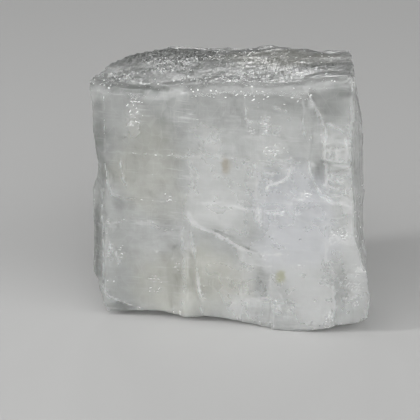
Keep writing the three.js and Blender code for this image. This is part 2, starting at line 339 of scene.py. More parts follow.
# --------------------------------------------------------------------------- the crystal's form
@dataclass
class CrystalForm:
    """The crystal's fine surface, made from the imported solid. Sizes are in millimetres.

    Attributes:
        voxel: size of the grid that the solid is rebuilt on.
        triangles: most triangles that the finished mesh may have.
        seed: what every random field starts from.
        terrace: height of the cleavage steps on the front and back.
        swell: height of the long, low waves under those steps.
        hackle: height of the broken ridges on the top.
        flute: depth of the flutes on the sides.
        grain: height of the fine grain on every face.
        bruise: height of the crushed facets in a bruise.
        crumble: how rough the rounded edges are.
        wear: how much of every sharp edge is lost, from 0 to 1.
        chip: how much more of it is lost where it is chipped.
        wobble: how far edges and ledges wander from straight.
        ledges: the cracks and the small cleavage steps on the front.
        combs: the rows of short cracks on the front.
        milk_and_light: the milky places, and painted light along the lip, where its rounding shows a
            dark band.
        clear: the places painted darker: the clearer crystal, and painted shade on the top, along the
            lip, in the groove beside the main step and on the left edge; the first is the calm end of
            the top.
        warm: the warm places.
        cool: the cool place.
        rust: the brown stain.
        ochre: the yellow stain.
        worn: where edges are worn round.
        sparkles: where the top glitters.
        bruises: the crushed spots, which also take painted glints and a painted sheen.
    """

    # each pair holds where something starts and where it is whole
    TOP_HEIGHTS = (21.5, 23)  # heights of the top that is levelled
    LEVELLED = (0.1, 0.5)  # how far up a place faces, to be levelled
    ROUNDED_LIP = (0.02, 0.4)  # how far up and forward a place faces, to be rounded
    CHIPPED_LIP = (0.2, 0.4)  # the same, to be chipped
    MARKED_LIP = (0.1, 0.4)  # the same, to be marked as the lip
    CHIPPED_TOP = (0.35, 0.7)  # how far up a place faces, to be chipped
    MARKED_TOP = (0.4, 0.7)  # the same, to be marked as the top
    CHIPS = (-0.1, 0.5)  # the noise that chips the edges
    SQUARE = (0.45, 0.85)  # how squarely a place faces an axis, to have its face's relief
    FACE = (0.65, 0.92)  # the same, to be a face and no edge
    CLEAVED = (0.4, 0.75)  # the same for the front and back, to be no broken face
    PROUD = (0.012, 0.05)  # how far a point stands out of its neighbours, to be a crest
    BROADLY_PROUD = (0.07, 0.2)  # the same over a wider ring of neighbours
    BACK_OF_TOP = (3.6, 6.2)  # the y between which the top turns rough
    STEP_PATCHES = (-0.1, 0.5)  # the noise that brings in narrow steps
    RUNG_PATCHES = (0.0, 0.5)  # the noise that brings in rung-like steps
    CRUMB_PATCHES = (0.1, 0.6)  # the noise that brings in crumbs

    CALM_ROUNDS = 28  # rounds of smoothing that give the smoothed shape
    LEVEL_ROUNDS = 1400  # rounds that level the top
    LIP_ROUNDS = 260  # rounds that round the lip and the worn edges
    CREST_ROUNDS = 4  # rounds that crests and creases are measured over
    BROAD_ROUNDS = 16  # the same for broad crests
    LAST_ROUNDS = 2  # rounds that end the making of the mesh

    FLICKER = 0.8  # how white the ledges are on the whole, and how much that wanders
    EDGE_WHITE = 0.5  # how white crests are, and how much painted light the creases take
    TOP_PALER, LIP_PALER = 0.25, 0.35  # how much less of that the top and its lip have
    BROAD_SHARE, CREASE_SHARE = 0.4, 0.6  # how white broad crests are, and how much painted light creases take, against a fine crest
    LIP_BROKEN = 0.8  # how broken the lip is
    WANDER = 0.35  # how far a patch's edge wanders, as a share of its reach
    STEP_SHARES = (0.45, 0.35, 0.22)  # heights of wide, narrow and rung-like steps
    LUMPS, BACK_LUMPS = 0.22, 0.9  # height of the top's lumps, and what its back adds
    CRUMBS = 0.12  # height of the top's crumbs
    CALM = 0.85  # how much of the two the calm end of the top lacks, where the painted shade is darkest
    FLUTE_SHARES = (0.5, 0.25, 0.4)  # depths of flutes, splinters and swell on the sides

    FLAT_FOOT = 0.02  # points below this height stay on the flat foot
    FRONT_ZONE = -4.4  # points in front of this y can hold the front's ledges
    KEPT_WHITE = 0.08  # ledges whiter than this keep their fine mesh
    SHARP_ANGLE = 38  # edges sharper than this, in degrees, aren't smoothed over
    WELD_REACH = 0.001  # points closer than this are joined

    voxel: float = 0.105
    triangles: int = 196_000
    seed: int = 71
    terrace: float = 0.075
    swell: float = 0.05
    hackle: float = 0.2
    flute: float = 0.2
    grain: float = 0.012
    bruise: float = 0.03
    crumble: float = 0.09
    wear: float = 0.12
    chip: float = 0.8
    wobble: float = 0.16

    ledges: tuple[Ledge, ...] = (
        # the bright slanting ledge and the fine one above it; the ledge's wide white band is partly a
        # whitened edge and partly a painted highlight over the shaded face of its step
        Ledge(((-3.9, 11.8), (-3.6, 11.2), (-3.2, 10.7)), 1.6, 0.28),
        Ledge(((-3.5, 10.8), (-2.4, 10.3), (-0.9, 9.6), (0.5, 9.0), (1.3, 8.5)), 1.5, 0.2, -0.03, 0.5),
        Ledge(((1.3, 8.5), (1.9, 8.2), (2.9, 8.1), (4.7, 8.0), (5.4, 8.2)), 1.1, 0.17, -0.03, 0.4),
        Ledge(
            ((-2.4, 13.0), (-0.4, 13.1), (0.8, 12.8), (2.3, 12.5), (5.6, 12.6)),
            0.45, 0.1, -0.04, 0.5,
        ),
        # long level cleavage lines
        Ledge(
            ((-4.6, 17.6), (-2.0, 17.9), (-0.5, 17.8), (1.3, 17.7), (7.1, 17.8)),
            0.4, 0.1, -0.05, 0.5,
        ),
        Ledge(((-11.8, 17.5), (-8.8, 17.6), (-5.3, 17.5)), 0.3, 0.1, -0.03, 0.5),
        Ledge(((-4.0, 20.4), (-1.2, 20.6), (1.3, 20.3)), 0.3, 0.08, 0.05, 0.8),
        Ledge(((-3.4, 21.6), (-1.3, 21.7), (0.9, 21.5)), 0.2, 0.08, 0.04, 0.7),
        Ledge(((-0.2, 15.6), (0.5, 15.5), (1.3, 15.0)), 0.45, 0.09, 0.04, 0.4),
        Ledge(((-10.1, 12.9), (-7.9, 12.7), (-5.3, 12.9)), 0.3, 0.09, 0.06, 1.0),
        Ledge(((-7.6, 10.3), (-6.4, 9.7), (-5.1, 10.0)), 0.45, 0.1, 0.06, 0.8),
        # the main step's rim, and the blade at its foot
        Ledge(((-4.0, 24.2), (-3.8, 18.2), (-3.6, 14.8), (-3.8, 11.8)), 0.22, 0.14),
        Ledge(((-4.4, 10.3), (-4.5, 9.6), (-4.6, 7.7), (-4.4, 3.4), (-4.9, 0.6)), 0.45, 0.14),
        Ledge(
            ((-3.6, 9.7), (-3.3, 7.8), (-3.1, 5.7), (-2.9, 4.1), (-2.7, 2.5), (-2.6, 1.1)),
            0.6, 0.12, -0.12, 0.5,
        ),
        Ledge(((-3.0, 4.8), (-2.9, 4.1), (-2.8, 3.4)), 1.0, 0.16),
        Ledge(((-4.8, 7.8), (-3.6, 7.8)), 0.4, 0.09, 0.05, 0.4),
        # the window below the ledge, and its sills
        Ledge(((2.2, 6.8), (3.5, 6.7), (4.5, 6.9)), 0.9, 0.11, 0.1, 0.4),
        Ledge(((2.9, 6.6), (3.0, 3.1)), 0.25, 0.1, 0.08, 0.5),
        Ledge(((4.4, 6.7), (4.5, 3.2)), 0.45, 0.1, -0.08, 0.5),
        Ledge(((3.0, 3.3), (4.4, 3.2)), 0.6, 0.08, 0.04, 0.3),
        Ledge(((3.0, 2.9), (4.4, 3.0), (5.9, 3.0)), 0.75, 0.08, 0.05, 0.4),
        Ledge(((4.4, 5.4), (4.8, 4.8), (5.4, 3.9), (5.8, 3.3)), 0.8, 0.12, 0.06, 0.4),
        Ledge(((6.6, 3.0), (7.1, 2.4), (8.0, 2.5), (8.7, 2.8), (9.4, 2.6)), 0.5, 0.09, 0.05, 0.5),
        Ledge(((-1.0, 3.8), (-0.2, 3.7), (0.5, 3.3), (1.3, 3.2), (2.4, 3.3)), 0.5, 0.09, 0.06, 0.6),
        Ledge(((1.6, 8.2), (1.5, 5.8), (1.3, 3.4), (1.5, 0.6)), 0.3, 0.1, 0.07, 0.8),
        Ledge(((4.6, 5.6), (8.0, 5.8), (11.2, 5.9)), 0.1, 0.1, 0.1, 0.5),
        # the right foot's edge and the small faces above it
        Ledge(((10.2, 7.5), (10.6, 6.7), (10.7, 5.4), (10.8, 2.7), (10.7, 1.3)), 0.55, 0.1, -0.06, 0.3),
        Ledge(((9.8, 9.7), (9.9, 7.7)), 0.8, 0.12, 0.08, 0.4),
        Ledge(((9.9, 9.3), (10.4, 9.8), (11.0, 10.1)), 0.7, 0.1, 0.06, 0.4),
        # the dark triangle, the ladders and the curved cracks
        Ledge(
            ((8.0, 18.1), (8.1, 17.3), (8.4, 16.3), (9.0, 15.1), (9.4, 14.4), (10.1, 14.0)),
            0.56, 0.14, -0.1, 0.5,
        ),
        Ledge(((9.6, 17.9), (9.7, 14.7)), 0.7, 0.14, 0.08, 0.4),
        Ledge(
            ((9.4, 21.2), (9.5, 19.2), (9.5, 18.1), (10.5, 18.1), (11.6, 18.0)),
            1.1, 0.13, 0.08, 0.5,
        ),
        Ledge(((11.6, 18.0), (11.6, 19.3), (11.5, 20.3)), 0.84, 0.11, 0.05, 0.4),
        Ledge(((9.5, 19.1), (11.5, 19.3)), 0.84, 0.1, 0.05, 0.3),
        Ledge(((9.7, 21.8), (10.6, 21.4), (11.3, 20.9)), 0.98, 0.12, 0.06, 0.4),
        Ledge(((9.3, 15.5), (10.1, 15.5), (10.9, 15.2)), 1.1, 0.11, 0.05, 0.3),
        Ledge(((9.3, 14.5), (10.7, 14.5), (12.0, 14.3)), 0.84, 0.12, 0.06, 0.4),
        Ledge(((6.2, 18.2), (6.3, 17.0), (6.0, 16.2), (5.5, 15.8), (4.7, 15.4)), 0.7, 0.14, 0.05, 0.4),
        Ledge(((5.5, 15.8), (4.7, 15.4), (4.1, 15.2), (3.9, 14.8)), 1.3, 0.14, 0.06, 0.3),
        Ledge(((3.9, 14.8), (3.8, 13.7), (3.6, 13.1)), 0.7, 0.12, 0.04, 0.3),
        Ledge(((2.8, 17.5), (2.9, 14.7), (3.0, 13.2), (3.1, 12.5)), 0.56, 0.12, 0.06, 0.6),
        Ledge(((3.1, 12.6), (3.2, 11.4), (3.5, 10.8)), 0.98, 0.13, 0.04, 0.4),
        Ledge(((3.7, 16.5), (5.0, 16.5)), 0.84, 0.11),
        Ledge(((3.8, 16.0), (4.5, 15.5)), 0.7, 0.1),
        Ledge(((4.5, 16.0), (3.9, 15.4)), 0.7, 0.1),
        Ledge(((3.8, 17.3), (5.4, 17.3)), 0.56, 0.1),
        Ledge(
            ((7.4, 25.4), (7.8, 24.5), (8.2, 23.7), (8.8, 22.9), (9.1, 21.9), (9.4, 21.3)),
            0.5, 0.12, 0.08, 0.7,
        ),
        Ledge(((8.1, 23.7), (8.4, 23.2), (8.7, 22.6)), 0.98, 0.12, 0.05, 0.3),
        Ledge(((6.2, 12.7), (6.7, 12.1), (7.7, 11.7), (9.0, 11.4)), 0.42, 0.14, 0.08, 0.9),
        Ledge(((7.7, 13.1), (8.7, 12.6), (9.4, 12.2)), 0.42, 0.14, 0.06, 0.6),
        # upright lines of the main slab
        Ledge(((1.7, 24.1), (1.8, 22.5), (2.1, 21.4), (2.4, 20.5)), 0.45, 0.09, 0.05, 0.6),
        Ledge(((7.3, 24.0), (7.4, 21.9), (7.6, 20.7)), 0.4, 0.1, 0.06, 0.7),
        Ledge(((11.9, 25.6), (11.9, 23.1), (11.9, 20.7)), 0.5, 0.12, 0.05, 0.4),
        # the left third
        Ledge(((-12.3, 16.5), (-12.2, 14.2)), 0.6, 0.1, 0.05, 0.4),
        Ledge(((-10.7, 17.0), (-10.7, 15.8), (-10.5, 14.9), (-10.2, 14.2)), 0.6, 0.1, 0.06, 0.5),
        Ledge(((-11.8, 13.8), (-11.6, 13.1), (-10.7, 12.8), (-10.2, 12.9)), 0.5, 0.1, 0.08, 0.5),
        Ledge(((-12.7, 13.2), (-12.8, 9.5), (-12.8, 3.0)), 0.5, 0.11, -0.1, 0.5),
        Ledge(
            ((-12.8, 3.0), (-12.2, 2.2), (-11.2, 1.7), (-10.1, 1.5), (-8.7, 1.2)),
            0.75, 0.14, 0.1, 0.5,
        ),
        Ledge(((-12.3, 23.6), (-12.2, 20.0), (-12.3, 17.4)), 0.3, 0.09, 0.05, 0.6),
    )
    combs: tuple[Comb, ...] = (
        Comb((9.9, 18.7), (11.5, 18.7), 8, 1.0, True, 0.8),
        Comb((10.5, 17.0), (10.6, 15.9), 4, 1.3, False, 1.1),
        Comb((11.7, 14.1), (11.9, 12.9), 4, 1.1, False, 0.9),
        Comb((3.7, 22.4), (3.8, 20.4), 6, 0.5, False, 0.8),
        Comb((1.9, 22.0), (2.5, 20.3), 5, 0.4, False, 0.7),
        Comb((4.3, 23.2), (5.9, 22.8), 6, 0.3, False, 0.6),
        Comb((7.2, 14.4), (7.9, 14.5), 2, 0.8, True, 1.4),
        Comb((-12.0, 7.9), (-11.0, 6.2), 8, 0.7, True, 0.5),
        Comb((10.6, 10.4), (12.4, 9.6), 6, 0.4, False, 1.0),
        Comb((0.0, 6.5), (1.2, 5.2), 5, 0.8, True, 0.3),
    )
    milk_and_light: tuple[Patch, ...] = (
        Patch((-2.6, -6.6, 11.3), (1.8, 2.0, 1.4), 0.4),
        Patch((4.2, -6.6, 7.4), (2.8, 2.0, 1.3), 0.45),
        Patch((7.6, -6.6, 7.6), (3.4, 3.0, 2.4), 0.55),
        Patch((8.3, -6.6, 3.4), (2.6, 3.0, 3.4), 0.5),
        Patch((-1.5, -6.6, 13.5), (3.2, 3.0, 3.6), 0.35),
        Patch((3.0, -6.6, 4.8), (6.0, 3.0, 5.0), 0.5),
        Patch((13.4, -6.0, 9.0), (2.0, 5.0, 9.0), 0.5),
        Patch((12.5, -6.4, 14.5), (2.2, 3.0, 10.0), 0.4),
        Patch((-2.2, -6.6, 17.0), (1.9, 2.0, 8.0), 0.45),
        Patch((4.0, -6.6, 14.0), (6.0, 2.0, 5.0), 0.3),
        Patch((4.8, -6.6, 21.4), (2.6, 3.0, 1.6), 0.35),
        Patch((8.0, -6.6, 10.4), (4.0, 3.0, 1.8), 0.4),
        Patch((-9.6, -5.6, 19.6), (1.5, 2.0, 2.2), 0.6),
        Patch((0.0, -6.2, 25.2), (6.5, 1.6, 1.2), 0.25),
        Patch((13.8, -1.0, 13.0), (1.6, 7.0, 12.0), 0.8),
        Patch((9.0, -6.4, 9.0), (5.0, 3.0, 8.0), 0.3),
        Patch((1.1, -6.6, 10.9), (2.0, 2.0, 1.7), 0.5),
        Patch((5.0, -6.6, 9.4), (1.6, 2.0, 1.8), 0.25),
        Patch((0.3, -6.4, 3.2), (2.4, 2.0, 1.8), 0.3),
        # painted light along the lip, lifting the dark band where the top rounds over
        Patch((-3.0, -6.2, 25.4), (9.5, 1.5, 0.8), 0.35),
        Patch((-8.0, -4.9, 24.3), (5.0, 0.9, 1.2), 0.35),
        Patch((-1.0, -5.9, 25.1), (6.0, 1.0, 0.55), 0.3),
    )
    clear: tuple[Patch, ...] = (
        # painted shade on the top, darkest at its back left, which is also its calm end
        Patch((-8.6, 2.5, 25.6), (6.0, 5.5, 2.6), 1.2),
        Patch((-12.0, -2.0, 24.6), (3.0, 5.0, 2.0), 0.7),
        # painted shade on the lip and on the top's right corner, dimming their highlights
        Patch((2.0, -6.5, 24.5), (13.0, 1.8, 0.8), 0.22),
        Patch((-11.5, -6.3, 23.7), (5.5, 1.8, 0.9), 0.3),
        Patch((11.5, -6.4, 25.2), (2.2, 1.8, 1.0), 0.4),
        # more painted shade on the top
        Patch((-8.0, -3.0, 25.2), (5.0, 2.2, 2.0), 0.35),
        Patch((9.2, -2.9, 25.8), (3.8, 2.6, 2.0), 0.5),
        Patch((5.0, -1.6, 26.0), (4.2, 3.2, 2.0), 0.4),
        # places of the front painted darker
        Patch((9.8, -6.2, 24.2), (2.4, 3.0, 2.6), 0.35),
        Patch((8.8, -6.6, 16.8), (0.8, 1.5, 1.8), 0.7),
        # painted shade in the groove beside the main step
        Patch((-3.6, -6.2, 5.8), (0.45, 1.5, 2.6), 0.45),
        Patch((-5.0, -6.0, 4.8), (0.45, 1.5, 3.2), 0.3),
        # more places of the front painted darker
        Patch((3.6, -6.6, 4.9), (0.95, 1.5, 2.1), 0.4),
        Patch((11.5, -6.2, 4.6), (1.1, 3.0, 2.8), 0.35),
        Patch((11.8, -6.2, 8.7), (1.9, 3.0, 1.1), 0.1),
        Patch((0.2, -6.4, 6.0), (2.0, 2.0, 3.4), 0.28),
        Patch((-11.0, -5.8, 12.0), (0.8, 1.5, 1.1), 0.45),
        # painted shade along the left edge, which faces away from the light
        Patch((-13.3, -5.6, 14.0), (1.3, 3.0, 12.0), 0.45),
        Patch((-13.4, -4.6, 7.4), (0.9, 3.0, 5.2), 0.9),
        # places of the left third and the bottom painted darker
        Patch((-11.0, -5.4, 1.2), (2.3, 2.0, 0.7), 0.8),
        Patch((-12.4, -5.6, 17.6), (1.6, 3.0, 3.4), 0.2),
        Patch((-9.6, -5.8, 19.0), (5.6, 3.0, 8.0), 0.4),
        Patch((-4.0, -6.4, 22.0), (5.0, 3.0, 4.0), 0.25),
        Patch((-5.6, -5.8, 12.0), (1.7, 2.0, 13.0), 0.3),
        Patch((-8.0, -5.8, 4.5), (4.2, 2.0, 5.0), 0.22),
        # a place of the front painted darker
        Patch((3.0, -6.8, 23.6), (10.0, 3.0, 3.6), 0.38),
        # painted shade over the whole top
        Patch((0.0, 1.0, 27.0), (16.0, 8.0, 3.4), 0.6),
        # places of the front painted darker
        Patch((-10.0, -5.2, 24.6), (6.0, 1.5, 1.6), 0.3),
        Patch((4.6, -6.6, 16.6), (1.0, 1.5, 1.0), 0.35),
        Patch((8.4, -6.6, 13.3), (1.8, 1.5, 0.8), 0.25),
    )
    warm: tuple[Patch, ...] = (
        Patch((-8.0, -5.6, 16.0), (4.4, 4.0, 6.0), 0.7),
        Patch((-3.5, -5.6, 4.5), (7.0, 4.0, 5.0), 1.0),
        Patch((4.5, 1.5, 26.0), (7.0, 4.0, 2.5), 0.8),
    )
    cool: tuple[Patch, ...] = (Patch((7.0, -6.6, 12.0), (5.5, 4.0, 6.5), 1.0),)
    rust: tuple[Patch, ...] = (Patch((-0.1, -6.8, 16.9), (0.5, 1.5, 1.1), 1.0),)
    ochre: tuple[Patch, ...] = (Patch((5.4, -6.6, 5.8), (0.6, 1.5, 0.7), 1.0),)
    worn: tuple[Patch, ...] = (
        Patch((-3.9, -6.2, 18.5), (1.6, 3.0, 9.5), 1.3),
        Patch((-5.0, -6.0, 4.5), (1.4, 3.0, 4.6), 1.0),
        Patch((12.0, -6.4, 8.2), (3.2, 3.0, 1.6), 1.3),
        Patch((10.9, -6.4, 4.6), (0.9, 3.0, 3.6), 0.8),
        Patch((-13.0, -5.5, 18.5), (2.4, 3.5, 5.5), 1.3),
        Patch((-9.0, -6.0, 11.4), (5.0, 2.0, 1.8), 1.0),
        Patch((-9.5, -6.0, 5.5), (3.0, 2.0, 1.6), 0.8),
        Patch((-4.6, -6.2, 22.2), (1.8, 2.0, 1.4), 1.2),
        Patch((-2.6, -6.4, 10.4), (1.9, 2.0, 0.9), 0.8),
        Patch((0.3, -6.4, 9.1), (1.9, 2.0, 0.9), 0.8),
    )
    sparkles: tuple[Patch, ...] = (
        Patch((-7.4, -0.6, 25.3), (2.6, 2.8, 2.0), 0.75),
        Patch((-11.0, -4.4, 24.9), (2.2, 1.8, 2.0), 0.8),
        Patch((2.6, -4.6, 25.6), (5.0, 2.0, 2.0), 0.5),
        Patch((-2.0, 3.2, 25.4), (4.0, 2.4, 2.0), 0.5),
        Patch((-2.0, -5.0, 25.2), (3.0, 1.6, 2.0), 0.4),
    )
    bruises: tuple[Patch, ...] = (
        Patch((-9.4, -5.8, 21.6), (1.2, 1.5, 2.2), 1.0),
        Patch((-11.9, -5.8, 9.6), (1.2, 1.5, 1.0), 0.9),
        Patch((4.7, -6.8, 18.9), (1.4, 1.5, 0.8), 1.0),
        Patch((11.3, -6.8, 10.4), (1.9, 2.0, 1.1), 1.2),
        Patch((12.4, -6.0, 5.0), (1.2, 2.0, 3.0), 1.0),
        Patch((-11.5, -5.8, 7.0), (1.3, 1.5, 1.6), 0.7),
        Patch((-5.0, -6.0, 6.2), (0.45, 1.2, 1.0), 1.0),
        Patch((-7.4, -6.0, 4.0), (0.8, 1.2, 1.2), 0.8),
        Patch((-11.6, -5.8, 4.0), (1.0, 1.2, 0.5), 0.8),
        Patch((-5.0, -6.2, 17.6), (0.5, 1.2, 0.3), 0.9),
        Patch((-5.8, -6.0, 13.2), (0.6, 1.2, 0.5), 0.8),
        Patch((-2.6, -6.6, 3.1), (0.5, 1.2, 0.9), 0.9),
        Patch((7.1, -6.8, 6.7), (0.8, 1.2, 0.8), 0.7),
        Patch((10.3, -6.8, 1.9), (0.5, 1.2, 0.7), 0.9),
        Patch((4.9, -6.8, 12.5), (1.1, 1.2, 0.45), 1.2),
        Patch((7.5, -6.8, 14.4), (0.8, 1.2, 0.7), 0.8),
        Patch((3.1, -6.8, 12.2), (0.4, 1.2, 1.5), 0.8),
        Patch((4.6, -6.7, 7.9), (2.6, 1.2, 0.5), 0.5),
        Patch((3.6, -6.8, 21.4), (0.6, 1.2, 1.3), 0.6),
        Patch((2.0, -6.6, 24.3), (7.0, 1.5, 0.8), 0.5),
        Patch((-12.2, -5.8, 24.0), (1.4, 1.5, 0.6), 0.7),
    )

    def build(self) -> bpy.types.Object:
        """Builds the crystal's mesh, with its marks, as an object that isn't dressed yet.

        Returns:
            The object, in metres, in the frame's place.
        """
        noise = LatticeNoise(self.seed)
        piece = self.rebuilt_solid()
        points, normals, smoothed = self.read_surface(piece)
        white, rise = self.draw_ledges(points, noise)
        moved = self.carve(points, normals, smoothed, noise) + normals * rise[:, None]
        moved[:, 2] = np.where(points[:, 2] < self.FLAT_FOOT, 0, np.maximum(moved[:, 2], 0))
        write_points(piece.data, moved)
        self.leave_marks(piece, normals, white, noise)
        self.thin_out(piece, white)
        write_points(piece.data, relaxed(piece.data, read_points(piece.data), self.LAST_ROUNDS))
        for polygon in piece.data.polygons:
            polygon.use_smooth = True
        piece.data.set_sharp_from_angle(angle=math.radians(self.SHARP_ANGLE))
        LOG.info("%s: %d triangles", piece.name, len(piece.data.polygons))
        return piece

    def rebuilt_solid(self) -> bpy.types.Object:
        """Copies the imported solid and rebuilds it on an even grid.

        Returns:
            The new object, with its modifiers applied.
        """
        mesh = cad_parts[CAD_NODE].data.copy()
        mesh.materials.clear()
        piece = bpy.data.objects.new("beryllonite_block", mesh)
        bpy.context.scene.collection.objects.link(piece)
        weld = piece.modifiers.new("weld", "WELD")
        weld.merge_threshold = self.WELD_REACH * MM
        remesh = piece.modifiers.new("even grid", "REMESH")
        remesh.mode = "VOXEL"
        remesh.voxel_size = self.voxel * MM
        apply_modifiers(piece)
        return piece

    def read_surface(self, piece: bpy.types.Object) -> tuple[Array, Array, Array]:
        """Reads the mesh into arrays.

        Args:
            piece: the rebuilt solid.

        Returns:
            Its points in millimetres, the normals of its smoothed shape, and that shape.
        """
        mesh = piece.data
        points = read_points(mesh)
        smoothed = relaxed(mesh, points, self.CALM_ROUNDS)
        write_points(mesh, smoothed)
        upward = ease_between(*self.LEVELLED, read_normals(mesh)[:, 2])
        upward *= ease_between(*self.TOP_HEIGHTS, points[:, 2])
        level = relaxed(mesh, smoothed[:, 2:], self.LEVEL_ROUNDS, upward)
        smoothed[:, 2] += upward * (level[:, 0] - smoothed[:, 2])
        rounded = relaxed(mesh, smoothed, self.LIP_ROUNDS)
        write_points(mesh, rounded)
        soft = lip_of(read_normals(mesh), *self.ROUNDED_LIP)
        soft = np.maximum(soft, np.clip(total_of(self.worn, points), 0, 1))
        smoothed += soft[:, None] * (rounded - smoothed)
        write_points(mesh, smoothed)
        return points, read_normals(mesh), smoothed

    def draw_ledges(self, points: Array, noise: LatticeNoise) -> tuple[Array, Array]:
        """Draws the ledges and the rows of cracks on the front.

        Args:
            points: the rebuilt solid's points.
            noise: the random fields.

        Returns:
            How white each point is, and how far its surface rises.
        """
        white = np.zeros(len(points))
        rise = np.zeros(len(points))
        random = np.random.default_rng(self.seed)
        ledges = list(self.ledges)
        for comb in self.combs:
            ledges += comb.ledges(random)
        front = np.flatnonzero(points[:, 1] < self.FRONT_ZONE)
        plan = points[front][:, [0, 2]]
        sway = [noise.layered(plan, size=0.7, octaves=2, salt=61, shift=far) for far in (0, 50)]
        plan = plan + 0.5 * self.wobble * np.stack(sway, axis=1)
        sparse = noise.layered(plan, size=0.4, octaves=2, salt=62)
        flicker = self.FLICKER + self.FLICKER * sparse
        for ledge in ledges:
            near = np.flatnonzero(ledge.near(plan))
            away, left = ledge.measure(plan[near])
            line = ledge.line(away) * flicker[near]
            white[front[near]] = np.maximum(white[front[near]], np.clip(line, 0, 1))
            rise[front[near]] += ledge.rise(away, left)
        return white, rise

    def carve(self, points: Array, normals: Array, smoothed: Array, noise: LatticeNoise) -> Array:
        """Chips the edges and moves the surface into its fine relief.

        Args:
            points: the rebuilt solid's points.
            normals: the smoothed shape's normals.
            smoothed: the smoothed shape's points.
            noise: the random fields.

        Returns:
            The carved points.
        """
        bite = noise.layered(points, size=1.3, octaves=3, salt=11)
        lost = self.wear + self.chip * ease_between(*self.CHIPS, bite)
        lost += ease_between(*self.CHIPPED_TOP, normals[:, 2])
        lost += lip_of(normals, *self.CHIPPED_LIP)
        lost += total_of(self.worn, points)
        moved = points + (smoothed - points) * np.clip(lost, 0, 1)[:, None]
        for axis in range(3):
            sway = noise.layered(points, size=1.1, octaves=3, salt=12, shift=20 * axis)
            moved[:, axis] += self.wobble * sway * (1 - np.abs(normals[:, axis]))
        facing = np.abs(normals)
        reliefs = (self.side_relief, self.cleavage_relief, self.top_relief)
        outward = (np.sign(normals[:, 0]), np.sign(normals[:, 1]), normals[:, 2] > 0)
        for axis, (relief, outside) in enumerate(zip(reliefs, outward)):
            weight = ease_between(*self.SQUARE, facing[:, axis])
            moved[:, axis] += outside * weight * relief(points, noise)
        edge = 1 - ease_between(*self.FACE, facing.max(axis=1))
        crumbs = noise.layered(points, size=0.34, octaves=2, salt=74)
        crush = noise.facets(points[:, [0, 2]], size=0.25, tilt=0.5, square=False, salt=72)
        wander = 0.3 * noise.layered(points, size=0.8, octaves=2, salt=73)
        fine = self.grain * noise.layered(points, size=0.45, octaves=2, salt=71)
        fine += self.crumble * edge * crumbs
        fine += self.bruise * crush * np.clip(total_of(self.bruises, points, wander), 0, 1)
        return moved + normals * fine[:, None]

    def cleavage_relief(self, points: Array, noise: LatticeNoise) -> Array:
        """Gives the height of the front and back faces' small steps and grooves.

        Args:
            points: the rebuilt solid's points.
            noise: the random fields.

        Returns:
            One height for each point, in millimetres.
        """
        plan = points[:, [0, 2]]
        apart = np.sign(points[:, 1:2]) * (40, 0)  # keeps the front and the back different
        bend = 0.35 * noise.smooth(plan, size=2.5, salt=21, shift=apart)
        bend += 0.03 * noise.layered(plan, size=0.5, octaves=2, salt=28, shift=apart)
        plan = plan + apart + bend[:, None]
        wide = noise.facets(plan, size=(2.7, 3.6), tilt=0.25, square=True, salt=22)
        narrow = noise.facets(plan, size=(0.8, 1.9), tilt=0.3, square=True, salt=23)
        rungs = noise.facets(plan, size=(1.9, 0.26), tilt=0.3, square=True, salt=24)
        patchy = ease_between(*self.STEP_PATCHES, noise.smooth(plan, size=4.2, salt=25))
        rungy = ease_between(*self.RUNG_PATCHES, noise.smooth(plan, size=3.1, salt=26))
        shares = self.STEP_SHARES
        steps = shares[0] * wide + shares[1] * patchy * narrow + shares[2] * rungy * rungs
        swell = noise.layered(plan, size=5.0, octaves=2, salt=27)
        return self.terrace * steps + self.swell * swell

    def top_relief(self, points: Array, noise: LatticeNoise) -> Array:
        """Gives the height of the top's soft lumps and crumbs, which are largest at the back.

        Args:
            points: the rebuilt solid's points.
            noise: the random fields.

        Returns:
            One height for each point, in millimetres.
        """
        plan = points[:, :2].copy()
        plan[:, 1] += 0.35 * noise.smooth(plan, size=1.8, salt=31)
        swell = noise.layered(plan, size=(4.2, 2.6), octaves=2, salt=34)
        lumps = noise.layered(plan, size=(1.2, 0.9), octaves=2, salt=32)
        crumbs = noise.facets(plan, size=(0.42, 0.38), tilt=0.6, square=False, salt=33)
        rough = ease_between(*self.CRUMB_PATCHES, noise.smooth(plan, size=(2.4, 1.6), salt=37))
        wander = 0.2 * noise.smooth(plan, size=1.5, salt=35)
        calm = 1 - self.CALM * self.clear[0].mask(points, wander)
        back = ease_between(*self.BACK_OF_TOP, points[:, 1])
        broken = (self.LUMPS + self.BACK_LUMPS * back) * lumps + self.CRUMBS * rough * crumbs
        return self.hackle * (0.5 * swell + calm * broken)

    def side_relief(self, points: Array, noise: LatticeNoise) -> Array:
        """Gives the depth of the sides' flutes, which run up along the laminae.

        Args:
            points: the rebuilt solid's points.
            noise: the random fields.

        Returns:
            One height for each point, in millimetres.
        """
        plan = points[:, 1:]
        apart = np.sign(points[:, :1]) * (30, 0)  # keeps the two sides different
        bend = 0.25 * noise.smooth(plan, size=(2, 3), salt=41, shift=apart)
        plan = plan + apart
        plan[:, 0] += bend
        flutes = noise.facets(plan, size=(0.55, 5.5), tilt=0.6, square=True, salt=42)
        splinters = noise.facets(plan, size=(0.25, 1.6), tilt=0.5, square=True, salt=43)
        swell = noise.layered(plan, size=(2.2, 4), octaves=2, salt=44)
        shares = self.FLUTE_SHARES
        return self.flute * (shares[0] * flutes + shares[1] * splinters + shares[2] * swell)

